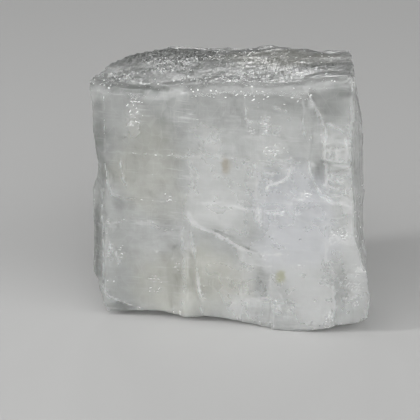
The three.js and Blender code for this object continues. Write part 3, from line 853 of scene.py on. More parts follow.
    def leave_marks(
        self, piece: bpy.types.Object, facing: Array, white: Array, noise: LatticeNoise
    ) -> None:
        """Stores the fields that the finish reads on the mesh's points.

        Args:
            piece: the carved mesh.
            facing: the smoothed shape's normals.
            white: how white the ledges are at each point.
            noise: the random fields.
        """
        mesh = piece.data
        points = read_points(mesh)
        wander = self.WANDER * noise.layered(points, size=2.2, octaves=3, salt=51)
        ragged = 0.5 * wander + 0.3 * noise.layered(points, size=0.8, octaves=2, salt=53)
        fine = proud_of(mesh, points, self.CREST_ROUNDS)
        broad = proud_of(mesh, points, self.BROAD_ROUNDS)
        upward = ease_between(*self.MARKED_TOP, facing[:, 2])
        lip = lip_of(facing, *self.MARKED_LIP)
        crest = self.BROAD_SHARE * (1 - upward) * ease_between(*self.BROADLY_PROUD, broad)
        crest = np.maximum(ease_between(*self.PROUD, fine), crest)
        # painted light: concave creases are whitened so that they don't show dark
        painted_crease_light = self.CREASE_SHARE * (1 - upward) * ease_between(*self.PROUD, -fine)
        flicker = 0.75 + 0.4 * noise.layered(points, size=0.6, octaves=2, salt=52)
        edges = self.EDGE_WHITE - self.TOP_PALER * upward - self.LIP_PALER * lip
        edges = edges * np.maximum(crest, painted_crease_light) * flicker
        cleaved = ease_between(*self.CLEAVED, np.abs(facing[:, 1]))
        fields = {
            Mark.FRACTURE_AND_LIGHT: np.maximum(edges, white),
            Mark.BROKEN: np.maximum(1 - cleaved, self.LIP_BROKEN * lip),
            # the milky mark also carries painted light along the lip, and the clear mark painted shade
            Mark.MILK_AND_LIGHT: total_of(self.milk_and_light, points, wander),
            Mark.CLEAR: total_of(self.clear, points, ragged),
            Mark.WARM: total_of(self.warm, points, wander),
            Mark.COOL: total_of(self.cool, points, wander),
            Mark.RUST: total_of(self.rust, points, ragged),
            Mark.OCHRE: total_of(self.ochre, points, ragged),
            Mark.GLINT: total_of(self.bruises + self.sparkles, points, ragged),
        }
        for mark, values in fields.items():
            attribute = mesh.attributes.new(mark.value, "FLOAT", "POINT")
            attribute.data.foreach_set("value", np.clip(values, 0, 1).astype(np.float32))

    def thin_out(self, piece: bpy.types.Object, white: Array) -> None:
        """Joins triangles where the surface is flat until the mesh is within its limit.

        Args:
            piece: the marked mesh.
            white: how white the ledges are at each point, where the mesh is kept fine.
        """
        free = piece.vertex_groups.new(name="free to thin out")
        free.add(np.flatnonzero(white < self.KEPT_WHITE).tolist(), 1.0, "REPLACE")
        thin = piece.modifiers.new("thin out", "DECIMATE")
        thin.ratio = min(1.0, self.triangles / (2 * len(piece.data.polygons)))
        thin.vertex_group = free.name
        thin.vertex_group_factor = 0.0
        thin.use_collapse_triangulate = True
        apply_modifiers(piece)
        piece.vertex_groups.clear()


def read_points(mesh: bpy.types.Mesh) -> Array:
    """Reads a mesh's points, in millimetres.

    Args:
        mesh: the mesh.

    Returns:
        The points, one row each.
    """
    points = np.empty(len(mesh.vertices) * 3, np.float32)
    mesh.vertices.foreach_get("co", points)
    return points.reshape(-1, 3).astype(float) / MM


def write_points(mesh: bpy.types.Mesh, points: Array) -> None:
    """Writes a mesh's points, given in millimetres, one row each."""
    mesh.vertices.foreach_set("co", (points * MM).astype(np.float32).ravel())
    mesh.update()


def read_normals(mesh: bpy.types.Mesh) -> Array:
    """Reads the normals at a mesh's points.

    Args:
        mesh: the mesh.

    Returns:
        The normals, one row for each point.
    """
    normals = np.empty(len(mesh.vertices) * 3, np.float32)
    mesh.vertex_normals.foreach_get("vector", normals)
    return normals.reshape(-1, 3).astype(float)


def proud_of(mesh: bpy.types.Mesh, points: Array, rounds: int) -> Array:
    """Measures how far each point stands out of what its neighbours smooth to."""
    return ((points - relaxed(mesh, points, rounds)) * read_normals(mesh)).sum(axis=1)


def lip_of(normals: Array, low: float, high: float) -> Array:
    """Tells how much each place faces both up and forward, as the lip of the top does."""
    return ease_between(low, high, normals[:, 2]) * ease_between(low, high, -normals[:, 1])


def total_of(patches: tuple[Patch, ...], points: Array, wander: float | Array = 0.0) -> Array:
    """Adds up what several patches give at each point."""
    return sum(patch.mask(points, wander) for patch in patches)


def relaxed(mesh: bpy.types.Mesh, values: Array, rounds: int, weight: Array | None = None) -> Array:
    """Smooths what a mesh's points hold by moving each towards the mean of its neighbours.

    Args:
        mesh: gives which points are neighbours.
        values: what the points hold, one row each, such as their places.
        rounds: how many times they are moved, half the way each time.
        weight: how much each point counts as a neighbour, or None where all count the same.

    Returns:
        The smoothed values.
    """
    ends = np.empty(len(mesh.edges) * 2, np.int32)
    mesh.edges.foreach_get("vertices", ends)
    ends = ends.reshape(-1, 2)
    weight = np.ones(len(values)) if weight is None else weight
    used = weight > 0
    order = np.cumsum(used) - 1
    a, b = order[ends[used[ends].all(axis=1)]].T
    moving, weight = values[used], weight[used]
    count = len(moving)
    shared = np.bincount(a, weight[b], count) + np.bincount(b, weight[a], count)
    pull = np.where(shared > 0, 0.5, 0)[:, None]
    shared = np.maximum(shared, TINY)[:, None]
    for _ in range(rounds):
        total = np.empty_like(moving)
        for axis, carried in enumerate((moving * weight[:, None]).T):
            total[:, axis] = np.bincount(a, carried[b], count) + np.bincount(b, carried[a], count)
        moving = (1 - pull) * moving + pull * total / shared
    smoothed = values.copy()
    smoothed[used] = moving
    return smoothed


def apply_modifiers(piece: bpy.types.Object) -> None:
    """Turns an object's modifiers into its mesh.

    Args:
        piece: the object.
    """
    graph = bpy.context.evaluated_depsgraph_get()
    mesh = bpy.data.meshes.new_from_object(piece.evaluated_get(graph), depsgraph=graph)
    piece.modifiers.clear()
    piece.data = mesh


# ------------------------------------------------------------------------------------ the finish
class NodeDesk:
    """Places nodes in a tree and joins them."""

    MIX_SOCKETS = {"RGBA": (6, 7, 2), "VECTOR": (4, 5, 1)}  # a Mix node's two inputs and output

    def __init__(self, tree: bpy.types.NodeTree) -> None:
        """Keeps the tree that the nodes go in."""
        self.tree = tree

    def node(self, kind: str, fed: dict[str | int, object], **settings: object) -> Node:
        """Adds a node.

        Args:
            kind: the node's type.
            fed: what goes into its inputs, by their names or numbers.
            settings: what its properties are set to.

        Returns:
            The node.
        """
        node = self.tree.nodes.new(kind)
        for name, value in settings.items():
            setattr(node, name, value)
        for name, value in fed.items():
            self.feed(node.inputs[name], value)
        return node

    def feed(self, socket: Socket, value: object) -> None:
        """Joins an output to a socket, or sets the socket to a plain value.

        Args:
            socket: the socket that is fed.
            value: an output, a number or a row of numbers.
        """
        if isinstance(value, Socket):
            self.tree.links.new(value, socket)
        else:
            socket.default_value = value

    def math(self, operation: str, *values: object, clamp: bool = False) -> Socket:
        """Adds a Math node and gives its output."""
        fed = dict(enumerate(values))
        return self.node("ShaderNodeMath", fed, operation=operation, use_clamp=clamp).outputs[0]

    def vector(self, operation: str, *values: object) -> Socket:
        """Adds a Vector Math node and gives its output."""
        fed = dict(enumerate(values))
        return self.node("ShaderNodeVectorMath", fed, operation=operation).outputs[0]

    def most(self, *values: object) -> Socket:
        """Gives the largest of several numbers."""
        return functools.reduce(lambda one, other: self.math("MAXIMUM", one, other), values)

    def between(self, share: object, first: float, last: float) -> Socket:
        """Goes from the first number to the last as the share goes from 0 to 1."""
        return self.math("MULTIPLY_ADD", share, last - first, first)

    def towards(self, number: object, goal: float, share: object) -> Socket:
        """Moves a number a share of the way to a goal."""
        return self.math("MULTIPLY_ADD", self.math("SUBTRACT", goal, number), share, number)

    def span(self, value: object, low: object, high: object) -> Socket:
        """Rises smoothly from 0 to 1 as the value goes from low to high."""
        fed = {"Value": value, "From Min": low, "From Max": high}
        return self.node("ShaderNodeMapRange", fed, interpolation_type="SMOOTHSTEP").outputs["Result"]

    def blend(self, share: object, first: object, second: object, kind: str = "RGBA") -> Socket:
        """Mixes two colours, or two vectors, by a share.

        Args:
            share: how much of the second there is.
            first: the colour or vector at 0.
            second: the colour or vector at 1.
            kind: RGBA for colours, VECTOR for vectors.

        Returns:
            The mixture.
        """
        one, other, result = self.MIX_SOCKETS[kind]
        fed = {"Factor": share, one: first, other: second}
        return self.node("ShaderNodeMix", fed, data_type=kind, clamp_factor=True).outputs[result]

    def mark(self, mark: Mark) -> Socket:
        """Reads one of the marks that the form left."""
        settings = {"attribute_type": "GEOMETRY", "attribute_name": mark.value}
        return self.node("ShaderNodeAttribute", {}, **settings).outputs["Fac"]

    def noise(self, place: object, scale: object, detail: float, roughness: float = 0.5) -> Socket:
        """Adds smooth noise and gives its value."""
        fed = {"Vector": place, "Scale": scale, "Detail": detail, "Roughness": roughness}
        return self.node("ShaderNodeTexNoise", fed).outputs["Fac"]

    def cells(self, place: object, spacing: object) -> Node:
        """Adds random cells whose middles are about a spacing apart."""
        fed = {"Vector": place, "Scale": self.math("DIVIDE", 1.0, spacing)}
        return self.node("ShaderNodeTexVoronoi", fed)

    def tones(self, cells: Node) -> Sockets:
        """Gives each cell's three random numbers."""
        return self.node("ShaderNodeSeparateColor", {0: cells.outputs["Color"]}).outputs

    def axes(self, place: object) -> Sockets:
        """Gives a place's X, Y and Z."""
        return self.node("ShaderNodeSeparateXYZ", {0: place}).outputs

    def joined(self, values: dict[str, object]) -> Socket:
        """Makes a place from its X, Y and Z."""
        return self.node("ShaderNodeCombineXYZ", values).outputs[0]

    def weighed(self, weights: dict[Mark, float], base: object) -> Socket:
        """Adds marks to a number, each times its weight.

        Args:
            weights: each mark's weight.
            base: the number that they are added to.

        Returns:
            The sum.
        """
        for mark, weight in weights.items():
            base = self.math("MULTIPLY_ADD", self.mark(mark), weight, base)
        return base

    def group(self, effect: "type[Effect]", **fed: object) -> Node:
        """Places an effect's node group and feeds its inputs, which start with capitals."""
        return self.node("ShaderNodeGroup", fed, node_tree=bpy.data.node_groups[effect.NAME])


class Effect:
    """One shader node group, with a Place input in millimetres.

    Attributes:
        NAME: the group's name.
        NUMBERS: its number inputs, with their first values.
        RESULTS: its number outputs.
        VECTORS: vectors that come in, are changed and go out.
    """

    NAME: str
    NUMBERS: dict[str, float]
    RESULTS: tuple[str, ...]
    VECTORS: tuple[str, ...] = ()

    def build(self) -> bpy.types.NodeTree:
        """Makes the group with its sockets, and draws what is in it.

        Returns:
            The group.
        """
        group = bpy.data.node_groups.new(self.NAME, "ShaderNodeTree")
        add = group.interface.new_socket
        add("Place", in_out="INPUT", socket_type="NodeSocketVector")
        for label, value in self.NUMBERS.items():
            add(label, in_out="INPUT", socket_type="NodeSocketFloat").default_value = value
        for label in self.RESULTS:
            add(label, in_out="OUTPUT", socket_type="NodeSocketFloat")
        for label in self.VECTORS:
            add(label, in_out="INPUT", socket_type="NodeSocketVector")
            add(label, in_out="OUTPUT", socket_type="NodeSocketVector")
        desk = NodeDesk(group)
        inside = desk.node("NodeGroupInput", {}).outputs
        results = self.draw(desk, inside)
        desk.node("NodeGroupOutput", results)
        return group

    def draw(self, desk: NodeDesk, inside: Sockets) -> dict[str, object]:
        """Draws the group's nodes at the desk and gives what goes to each of its outputs."""
        raise NotImplementedError


class Veils(Effect):
    """Milky veils: a soft cloud of tiny bubbles, and a finer haze drawn out along the cleavage."""

    NAME = "milky veils"
    NUMBERS = {"Size": 4.0, "Streak": 1.1}
    RESULTS = ("Cloud", "Haze")
    DRAWN_OUT = (0.45, 1.0, 1.6)  # makes the haze long from side to side, and low

    def draw(self, desk: NodeDesk, inside: Sockets) -> dict[str, object]:
        """Draws the cloud and the haze.

        Args:
            desk: places the nodes.
            inside: the group's inputs.

        Returns:
            What goes to Cloud and Haze.
        """
        place = inside["Place"]
        cloud = desk.noise(place, desk.math("DIVIDE", 1.0, inside["Size"]), 5.0, 0.62)
        drawn = desk.vector("MULTIPLY", place, self.DRAWN_OUT)
        haze = desk.noise(drawn, desk.math("DIVIDE", 1.0, inside["Streak"]), 4.0, 0.65)
        return {"Cloud": desk.span(cloud, 0.35, 0.68), "Haze": desk.span(haze, 0.38, 0.7)}


class Striations(Effect):
    """Fine parallel lines in broken runs, as thin laminae leave where they end."""

    NAME = "striations"
    NUMBERS = {"Pitch": 0.2, "Run": 2.4}
    RESULTS = ("Level", "Upright")
    SPACINGS = {"Level": ("Run", "Run", "Pitch"), "Upright": ("Pitch", "Run", "Run")}

    def draw(self, desk: NodeDesk, inside: Sockets) -> dict[str, object]:
        """Draws one set of level lines and one of upright lines.

        Args:
            desk: places the nodes.
            inside: the group's inputs.

        Returns:
            What goes to Level and Upright.
        """
        parts = desk.axes(inside["Place"])
        results = {}
        for label, spacings in self.SPACINGS.items():
            scaled = {
                axis: desk.math("DIVIDE", parts[axis], inside[spacing])
                for axis, spacing in zip("XYZ", spacings)
            }
            results[label] = desk.span(desk.noise(desk.joined(scaled), 1.0, 1.0), 0.56, 0.7)
        return results


class PaintedGlints(Effect):
    """Tiny white dots: painted glints, where a crushed spot or a bubble would catch the light."""

    NAME = "painted_glints"
    NUMBERS = {"Spacing": 0.3, "Density": 0.2}
    RESULTS = ("PaintedGlints",)
    SMALLEST, LARGEST = 0.12, 0.3  # a speck's reach, in spacings

    def draw(self, desk: NodeDesk, inside: Sockets) -> dict[str, object]:
        """Draws the dots, which are denser where Density is higher.

        Args:
            desk: places the nodes.
            inside: the group's inputs.

        Returns:
            What goes to Specks.
        """
        cells = desk.cells(inside["Place"], inside["Spacing"])
        tones = desk.tones(cells)
        chosen = desk.math("LESS_THAN", tones[0], inside["Density"])
        reach = desk.between(tones[1], self.SMALLEST, self.LARGEST)
        away = desk.math("DIVIDE", cells.outputs["Distance"], reach)
        dot = desk.span(desk.math("SUBTRACT", 1.0, away, clamp=True), 0.0, 0.5)
        return {"PaintedGlints": desk.math("MULTIPLY", chosen, dot)}


class Glitter(Effect):
    """Tiny flat facets, each turned its own way, and bright ticks where a facet's edge is broken."""

    NAME = "glitter"
    NUMBERS = {"Size": 0.3, "Amount": 0.3, "Share": 0.2, "Round": 0.0}
    RESULTS = ("Tick",)
    VECTORS = ("Normal",)
    TICK_NORMAL = (-0.379, -0.83, 0.45)  # what a tick faces, which sends it the side lamp's light
    TICK_SPREAD = (0.24, 0.0, 0.24)  # how far each tick is turned from that
    TICK_REACH = 2.3  # how long a tick is, in facets
    TICK_EDGE = (0.6, 1.0)  # the shares of its reach between which it fades out
    FLAT_TICK = (1.6, 1.0, 12.5)  # how many times shorter a tick is along each axis
    ROUND_TICK = (2.8, 5.5, 2.9)  # the same where Round is 1
    SHORTER = 2.8  # the most times that a single tick is shorter still, along x
    LEANING = 0.6  # ticks whose tone is over this lean by a radian
    LEAN_SPREAD = 0.8  # how much the ticks' leans differ, in radians

    def draw(self, desk: NodeDesk, inside: Sockets) -> dict[str, object]:
        """Turns the normals, and tells where the ticks are.

        Args:
            desk: places the nodes.
            inside: the group's inputs.

        Returns:
            What goes to Normal and Tick.
        """
        drawn = desk.vector("MULTIPLY", inside["Place"], INTO_BLOCK)
        cells = desk.cells(drawn, inside["Size"])
        tick = self.tick(desk, drawn, cells, inside)
        centred = desk.vector("SUBTRACT", cells.outputs["Color"], (0.5, 0.5, 0.5))
        tilt = desk.vector("MULTIPLY", centred, inside["Amount"])
        facet = desk.vector("ADD", inside["Normal"], tilt)
        bright = desk.vector("MULTIPLY_ADD", centred, self.TICK_SPREAD, self.TICK_NORMAL)
        turned = desk.blend(tick, facet, bright, "VECTOR")
        return {"Normal": desk.vector("NORMALIZE", turned), "Tick": tick}

    def tick(self, desk: NodeDesk, drawn: object, cells: Node, inside: Sockets) -> Socket:
        """Draws a short stroke in each chosen cell.

        Args:
            desk: places the nodes.
            drawn: the place that the cells are laid out on.
            cells: the cells.
            inside: the group's inputs.

        Returns:
            The mask of the strokes.
        """
        tones = desk.tones(cells)
        away = desk.vector("SUBTRACT", drawn, cells.outputs["Position"])
        lean = desk.math("GREATER_THAN", tones[0], self.LEANING)
        own = desk.math("SUBTRACT", tones[1], 0.5)
        lean = desk.math("MULTIPLY_ADD", own, self.LEAN_SPREAD, lean)
        fed = {"Vector": away, "Angle": lean}
        turned = desk.node("ShaderNodeVectorRotate", fed, rotation_type="Y_AXIS").outputs[0]
        shorter = {
            axis: desk.between(inside["Round"], flat, rounded)
            for axis, flat, rounded in zip("XYZ", self.FLAT_TICK, self.ROUND_TICK)
        }
        shorter["X"] = desk.math("MULTIPLY_ADD", tones[1], self.SHORTER, shorter["X"])
        stroke = desk.vector("MULTIPLY", turned, desk.joined(shorter))
        extent = desk.node("ShaderNodeVectorMath", {0: stroke}, operation="LENGTH").outputs["Value"]
        reach = desk.math("MULTIPLY", inside["Size"], self.TICK_REACH)
        faded = desk.span(desk.math("DIVIDE", extent, reach), *self.TICK_EDGE)
        chosen = desk.math("LESS_THAN", tones[2], inside["Share"])
        return desk.math("MULTIPLY", chosen, desk.math("SUBTRACT", 1.0, faded))


class CleavageLines(Effect):
    """Fine straight cleavage lines: two sets that cross at right angles."""

    NAME = "cleavage lines"
    NUMBERS = {"Width": 1.2, "Height": 1.8, "Line": 0.05}
    RESULTS = ("Lines", "Tone")
    SWAY_SCALE = 0.45  # how quickly the lines wander, for each millimetre

    def draw(self, desk: NodeDesk, inside: Sockets) -> dict[str, object]:
        """Draws the lines, and a tone for each little panel between them.

        Args:
            desk: places the nodes.
            inside: the group's inputs.

        Returns:
            What goes to Lines and Tone.
        """
        parts = desk.axes(inside["Place"])
        sway = desk.noise(inside["Place"], self.SWAY_SCALE, 1.0)
        across = desk.math("DIVIDE", desk.math("ADD", parts["X"], sway), inside["Width"])
        upward = desk.math("DIVIDE", desk.math("ADD", parts["Z"], sway), inside["Height"])
        fed = {"Vector": desk.joined({"X": across, "Y": upward}), "Scale": 1.0}
        settings = {"voronoi_dimensions": "2D", "distance": "CHEBYCHEV"}
        near = desk.node("ShaderNodeTexVoronoi", fed, feature="F1", **settings)
        next_near = desk.node("ShaderNodeTexVoronoi", fed, feature="F2", **settings)
        gap = desk.math("SUBTRACT", next_near.outputs["Distance"], near.outputs["Distance"])
        lines = desk.math("SUBTRACT", 1.0, desk.span(gap, 0.0, inside["Line"]))
        return {"Lines": lines, "Tone": desk.tones(near)[0]}


@dataclass(frozen=True)
class Tint:
    """A colour that one of the marks brings into the crystal.

    Attributes:
        mark: tells where it shows.
        share: how much of it shows where the mark is strongest.
        colour: the colour.
    """

    mark: Mark
    share: float
    colour: Colour


@dataclass(frozen=True)
class BerylloniteFinish:
    """The crystal's finish, with painted shade, painted light and painted glints in its colour. Lengths
    in the node tree are in millimetres.

    Attributes:
        body: the colour of the plain crystal.
        milk_and_light: the colour of the milky veils and of the painted light.
        snow: the colour of cracks and crushed edges, and of the painted glints and the painted light in
            creases.
        shade: the colour of the clear, dark places and of the painted shade.
        tints: the colours under the cracks, the painted shade among them.
        stains: the colours over the cracks.
        panels: how much the little cleavage panels differ in tone.
        clouds: how much the soft clouds whiten the crystal.
        hazes: how much the fine haze whitens it.
        veiled: how much the milky places, and the painted light along the lip, whiten it.
        hairlines: how white the cleavage lines are.
        striae: how white the striations are, where they are faint and where they are strong.
        frost: how white the crushed spots are, with a painted sheen over them and the glittering
            patches.
        transmission: how much of the light goes through.
        ior: beryllonite's refractive index.
        absorption: the colour that thick crystal takes light towards.
        density: how quickly it does, for each metre.
        scatter: how far light spreads under the surface, in metres.
        glassy: the roughness of a clean cleavage face.
        dulled: how much rougher a dull place is, at most.
        broken: the roughness of a broken face.
        ticked: the roughness of a bright tick.
        bump: how strong the finest relief is.
        bump_height: how high it is, in metres.
        ridges: how high the striations stand in it, against the hackle.
    """

    FACET_SIZES = (0.34, 0.18)  # on a cleavage face and on a broken one
    TICK_STRENGTHS = (0.9, 0.6)  # the same, how white a tick is painted, a painted glint
    TICK_CROWDS = (0.42, 0.2)  # the same, the share of a bruise's cells that have a tick
    FEW_TICKS = 0.015  # the share of a broken face's cells that have one, away from bruises
    PLAIN_TILT = 0.02  # how far facets are turned everywhere
    TILTED = {Mark.BROKEN: 0.1, Mark.GLINT: 0.34}  # how much further the marks turn them
    PLAIN_SPECKS = 0.006  # how dense the painted glints are everywhere
    SPECKED = {Mark.GLINT: 0.15, Mark.BROKEN: 0.08}  # how much denser the marks make them
    ROUGHER = {Mark.MILK_AND_LIGHT: 0.2, Mark.FRACTURE_AND_LIGHT: 0.35, Mark.CLEAR: -0.1}
    UPRIGHT = 0.3  # how white the upright striations are, against the level ones
    HACKLE_SCALE = (1.2, 4.0, 2.0)  # draws the hackle out from side to side

    body: Colour = (0.56, 0.57, 0.56, 1.0)
    milk_and_light: Colour = (0.82, 0.825, 0.82, 1.0)
    snow: Colour = (0.99, 0.99, 0.99, 1.0)
    shade: Colour = (0.16, 0.17, 0.16, 1.0)
    tints: tuple[Tint, ...] = (
        # painted shade: the clear mark darkens the clearer places and the shaded top, lip, groove and
        # left edge
        Tint(Mark.CLEAR, 0.75, shade),
        Tint(Mark.WARM, 0.3, (0.8, 0.78, 0.62, 1.0)),
        Tint(Mark.COOL, 0.3, (0.78, 0.79, 0.9, 1.0)),
    )
    stains: tuple[Tint, ...] = (
        Tint(Mark.RUST, 0.6, (0.42, 0.35, 0.24, 1.0)),
        Tint(Mark.OCHRE, 0.6, (0.5, 0.5, 0.26, 1.0)),
    )
    panels: float = 0.14
    clouds: float = 0.5
    hazes: float = 0.25
    veiled: float = 0.75
    hairlines: float = 0.15
    striae: tuple[float, float] = (0.06, 0.31)
    frost: float = 0.12
    transmission: float = 0.72
    ior: float = 1.555
    absorption: Colour = (0.87, 0.9, 0.885, 1.0)
    density: float = 30.0
    scatter: float = 0.002
    glassy: float = 0.12
    dulled: float = 0.14
    broken: float = 0.25
    ticked: float = 0.3
    bump: float = 0.25
    bump_height: float = 0.00005
    ridges: float = 0.4

    def build(self) -> bpy.types.Material:
        """Builds the crystal's material.

        Returns:
            The material, ready for the crystal's mesh.
        """
        material = bpy.data.materials.new(FINISH_SLOT)
        material.use_nodes = True
        material.node_tree.nodes.clear()
        desk = NodeDesk(material.node_tree)
        metres = desk.node("ShaderNodeTexCoord", {}).outputs["Object"]
        place = desk.vector("MULTIPLY", metres, (1 / MM, 1 / MM, 1 / MM))
        striations = desk.group(Striations, Place=place)
        glitter = self.glitter(desk, place)
        fed = {
            "Base Color": self.colour(desk, place, striations, glitter.outputs["Tick"]),
            "Roughness": self.roughness(desk, place, glitter.outputs["Tick"]),
            "Normal": self.relief(desk, place, striations, glitter.outputs["Normal"]),
            "Transmission Weight": self.transmission,
            "IOR": self.ior,
            "Subsurface Weight": 1.0,
            "Subsurface Radius": (1.0, 1.0, 1.0),
            "Subsurface Scale": self.scatter,
        }
        surface = desk.node("ShaderNodeBsdfPrincipled", fed)
        fed = {"Color": self.absorption, "Density": self.density}
        volume = desk.node("ShaderNodeVolumeAbsorption", fed)
        ends = {"Surface": surface.outputs[0], "Volume": volume.outputs[0]}
        desk.node("ShaderNodeOutputMaterial", ends)
        return material

    def colour(self, desk: NodeDesk, place: object, striations: Node, tick: Socket) -> Socket:
        """Mixes the crystal's colour from its marks, veils and cleavage lines, with painted shade,
        painted light and painted glints among the marks.

        Args:
            desk: places the nodes.
            place: the place on the crystal, in millimetres.
            striations: the fine parallel lines.
            tick: where the bright ticks are.

        Returns:
            The colour.
        """
        veils = desk.group(Veils, Place=place)
        cleavage = desk.group(CleavageLines, Place=place)
        tone = desk.math("MULTIPLY", cleavage.outputs["Tone"], self.panels)
        colour = desk.blend(tone, self.body, self.shade)
        milk_and_light = desk.math("MULTIPLY", veils.outputs["Cloud"], self.clouds)
        # the milky mark, with its painted light along the lip
        milk_and_light = desk.math("MULTIPLY_ADD", desk.mark(Mark.MILK_AND_LIGHT), self.veiled, milk_and_light)
        milk_and_light = desk.math("MULTIPLY_ADD", veils.outputs["Haze"], self.hazes, milk_and_light, clamp=True)
        colour = self.tinted(desk, desk.blend(milk_and_light, colour, self.milk_and_light), self.tints)
        patchy = desk.span(desk.noise(place, 0.33, 1.0), 0.45, 0.65)
        lines = striations.outputs
        striae = desk.math("MULTIPLY_ADD", lines["Upright"], self.UPRIGHT, lines["Level"])
        # painted glints: the ticks are whitened, beside the glint that their turned normals catch from
        # the side lamp
        ticks = desk.math("MULTIPLY", tick, desk.between(desk.mark(Mark.BROKEN), *self.TICK_STRENGTHS))
        white = desk.most(
            desk.math("MULTIPLY", striae, desk.between(patchy, *self.striae)),
            desk.math("MULTIPLY", cleavage.outputs["Lines"], self.hairlines),
            # painted sheen over the bruises and the glittering patches
            desk.math("MULTIPLY", desk.mark(Mark.GLINT), self.frost),
            # painted glints
            self.painted_glints(desk, place),
            # whitened cracks and edges, with painted light in the creases and a painted highlight on
            # the bright ledge
            desk.mark(Mark.FRACTURE_AND_LIGHT),
            ticks,
        )
        return self.tinted(desk, desk.blend(white, colour, self.snow), self.stains)

    def tinted(self, desk: NodeDesk, colour: object, tints: tuple[Tint, ...]) -> Socket:
        """Brings tints into a colour where their marks are.

        Args:
            desk: places the nodes.
            colour: the colour so far.
            tints: the tints, the lowest first.

        Returns:
            The tinted colour.
        """
        for tint in tints:
            share = desk.math("MULTIPLY", desk.mark(tint.mark), tint.share)
            colour = desk.blend(share, colour, tint.colour)
        return colour

    def painted_glints(self, desk: NodeDesk, place: object) -> Socket:
        """Places the painted glints, which are densest where the crystal is bruised or broken.

        Args:
            desk: places the nodes.
            place: the place on the crystal, in millimetres.

        Returns:
            The mask of the specks.
        """
        density = desk.weighed(self.SPECKED, self.PLAIN_SPECKS)
        drawn = desk.vector("MULTIPLY", place, INTO_BLOCK)
        return desk.group(PaintedGlints, Place=drawn, Density=density).outputs["PaintedGlints"]

    def roughness(self, desk: NodeDesk, place: object, tick: Socket) -> Socket:
        """Makes cleavage faces glassy, and broken ones and cracks frosted.

        Args:
            desk: places the nodes.
            place: the place on the crystal, in millimetres.
            tick: where the bright ticks are.

        Returns:
            The roughness.
        """
        dull = desk.span(desk.noise(place, 0.6, 3.0), 0.35, 0.65)
        rough = desk.math("MULTIPLY_ADD", dull, self.dulled, self.glassy)
        rough = desk.weighed(self.ROUGHER, rough)
        rough = desk.towards(rough, self.broken, desk.mark(Mark.BROKEN))
        return desk.towards(rough, self.ticked, tick)

    def glitter(self, desk: NodeDesk, place: object) -> Node:
        """Places the facets, which are strong where the crystal is broken or bruised.

        Args:
            desk: places the nodes.
            place: the place on the crystal, in millimetres.

        Returns:
            The group's node.
        """
        broken = desk.mark(Mark.BROKEN)
        crowd = desk.between(broken, *self.TICK_CROWDS)
        few = desk.math("MULTIPLY", broken, self.FEW_TICKS)
        return desk.group(
            Glitter,
            Place=place,
            Size=desk.between(broken, *self.FACET_SIZES),
            Amount=desk.weighed(self.TILTED, self.PLAIN_TILT),
            Share=desk.math("MULTIPLY_ADD", desk.mark(Mark.GLINT), crowd, few),
            Round=broken,
            Normal=desk.node("ShaderNodeNewGeometry", {}).outputs["Normal"],
        )

    def relief(self, desk: NodeDesk, place: object, striations: Node, facets: Socket) -> Socket:
        """Adds striations and hackle that are smaller than the mesh holds to the facets' normals.

        Args:
            desk: places the nodes.
            place: the place on the crystal, in millimetres.
            striations: the fine parallel lines.
            facets: the facets' normals.

        Returns:
            The normals.
        """
        lines = desk.math("ADD", striations.outputs["Level"], striations.outputs["Upright"])
        hackle = desk.noise(desk.vector("MULTIPLY", place, self.HACKLE_SCALE), 1.5, 3.0)
        fed = {
            "Strength": self.bump,
            "Distance": self.bump_height,
            "Height": desk.math("MULTIPLY_ADD", lines, self.ridges, hackle),
            "Normal": facets,
        }
        return desk.node("ShaderNodeBump", fed).outputs[0]


@dataclass(frozen=True)
class FloorFinish:
    """The finish of the plain floor.

    Attributes:
        colour: its colour.
        roughness: how rough it is.
    """

    colour: Colour = (0.46, 0.46, 0.455, 1.0)
    roughness: float = 0.7

    def build(self) -> bpy.types.Material:
        """Builds the floor's material.

        Returns:
            The material.
        """
        material = bpy.data.materials.new("pale floor")
        material.use_nodes = True
        inputs = material.node_tree.nodes["Principled BSDF"].inputs
        inputs["Base Color"].default_value = self.colour
        inputs["Roughness"].default_value = self.roughness
        return material


# --------------------------------------------------------------------------- crystal and studio
@dataclass
class BerylloniteCrystal:
    """The whole crystal.

    Attributes:
        form: its shape.
        finish: its material.
    """

    form: CrystalForm
    finish: BerylloniteFinish

    def build(self) -> bpy.types.Object:
        """Builds the crystal, dresses it and sets it on its body.

        Returns:
            The finished piece.
        """
        for effect in (Veils, CleavageLines, Striations, PaintedGlints, Glitter):
            effect().build()
        piece = self.form.build()
        piece.data.materials.append(self.finish.build())
        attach(piece, BODY)
        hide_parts(CAD_NODE)
        return piece


@dataclass(frozen=True)
class Lamp:
    """A soft area lamp that looks at the crystal.

    Attributes:
        name: the lamp's name.
        azimuth: where it stands, in degrees, with 0 in front of the crystal.
        elevation: how high it stands, in degrees.
        distance: how far it is from the crystal, in metres.
        size: the side of its square, in metres.
        power: its power, in watts.
    """

    name: str
    azimuth: float
    elevation: float
    distance: float
    size: float
    power: float

    def build(self, target: Vector) -> bpy.types.Object:
        """Places the lamp and turns it to the target.

        Args:
            target: what it looks at.

        Returns:
            The lamp.
        """
        light = bpy.data.lights.new(self.name, "AREA")
        light.energy = self.power
        light.size = self.size
        away = self.distance * direction(self.azimuth, self.elevation)
        return add_aimed(light, target, away)


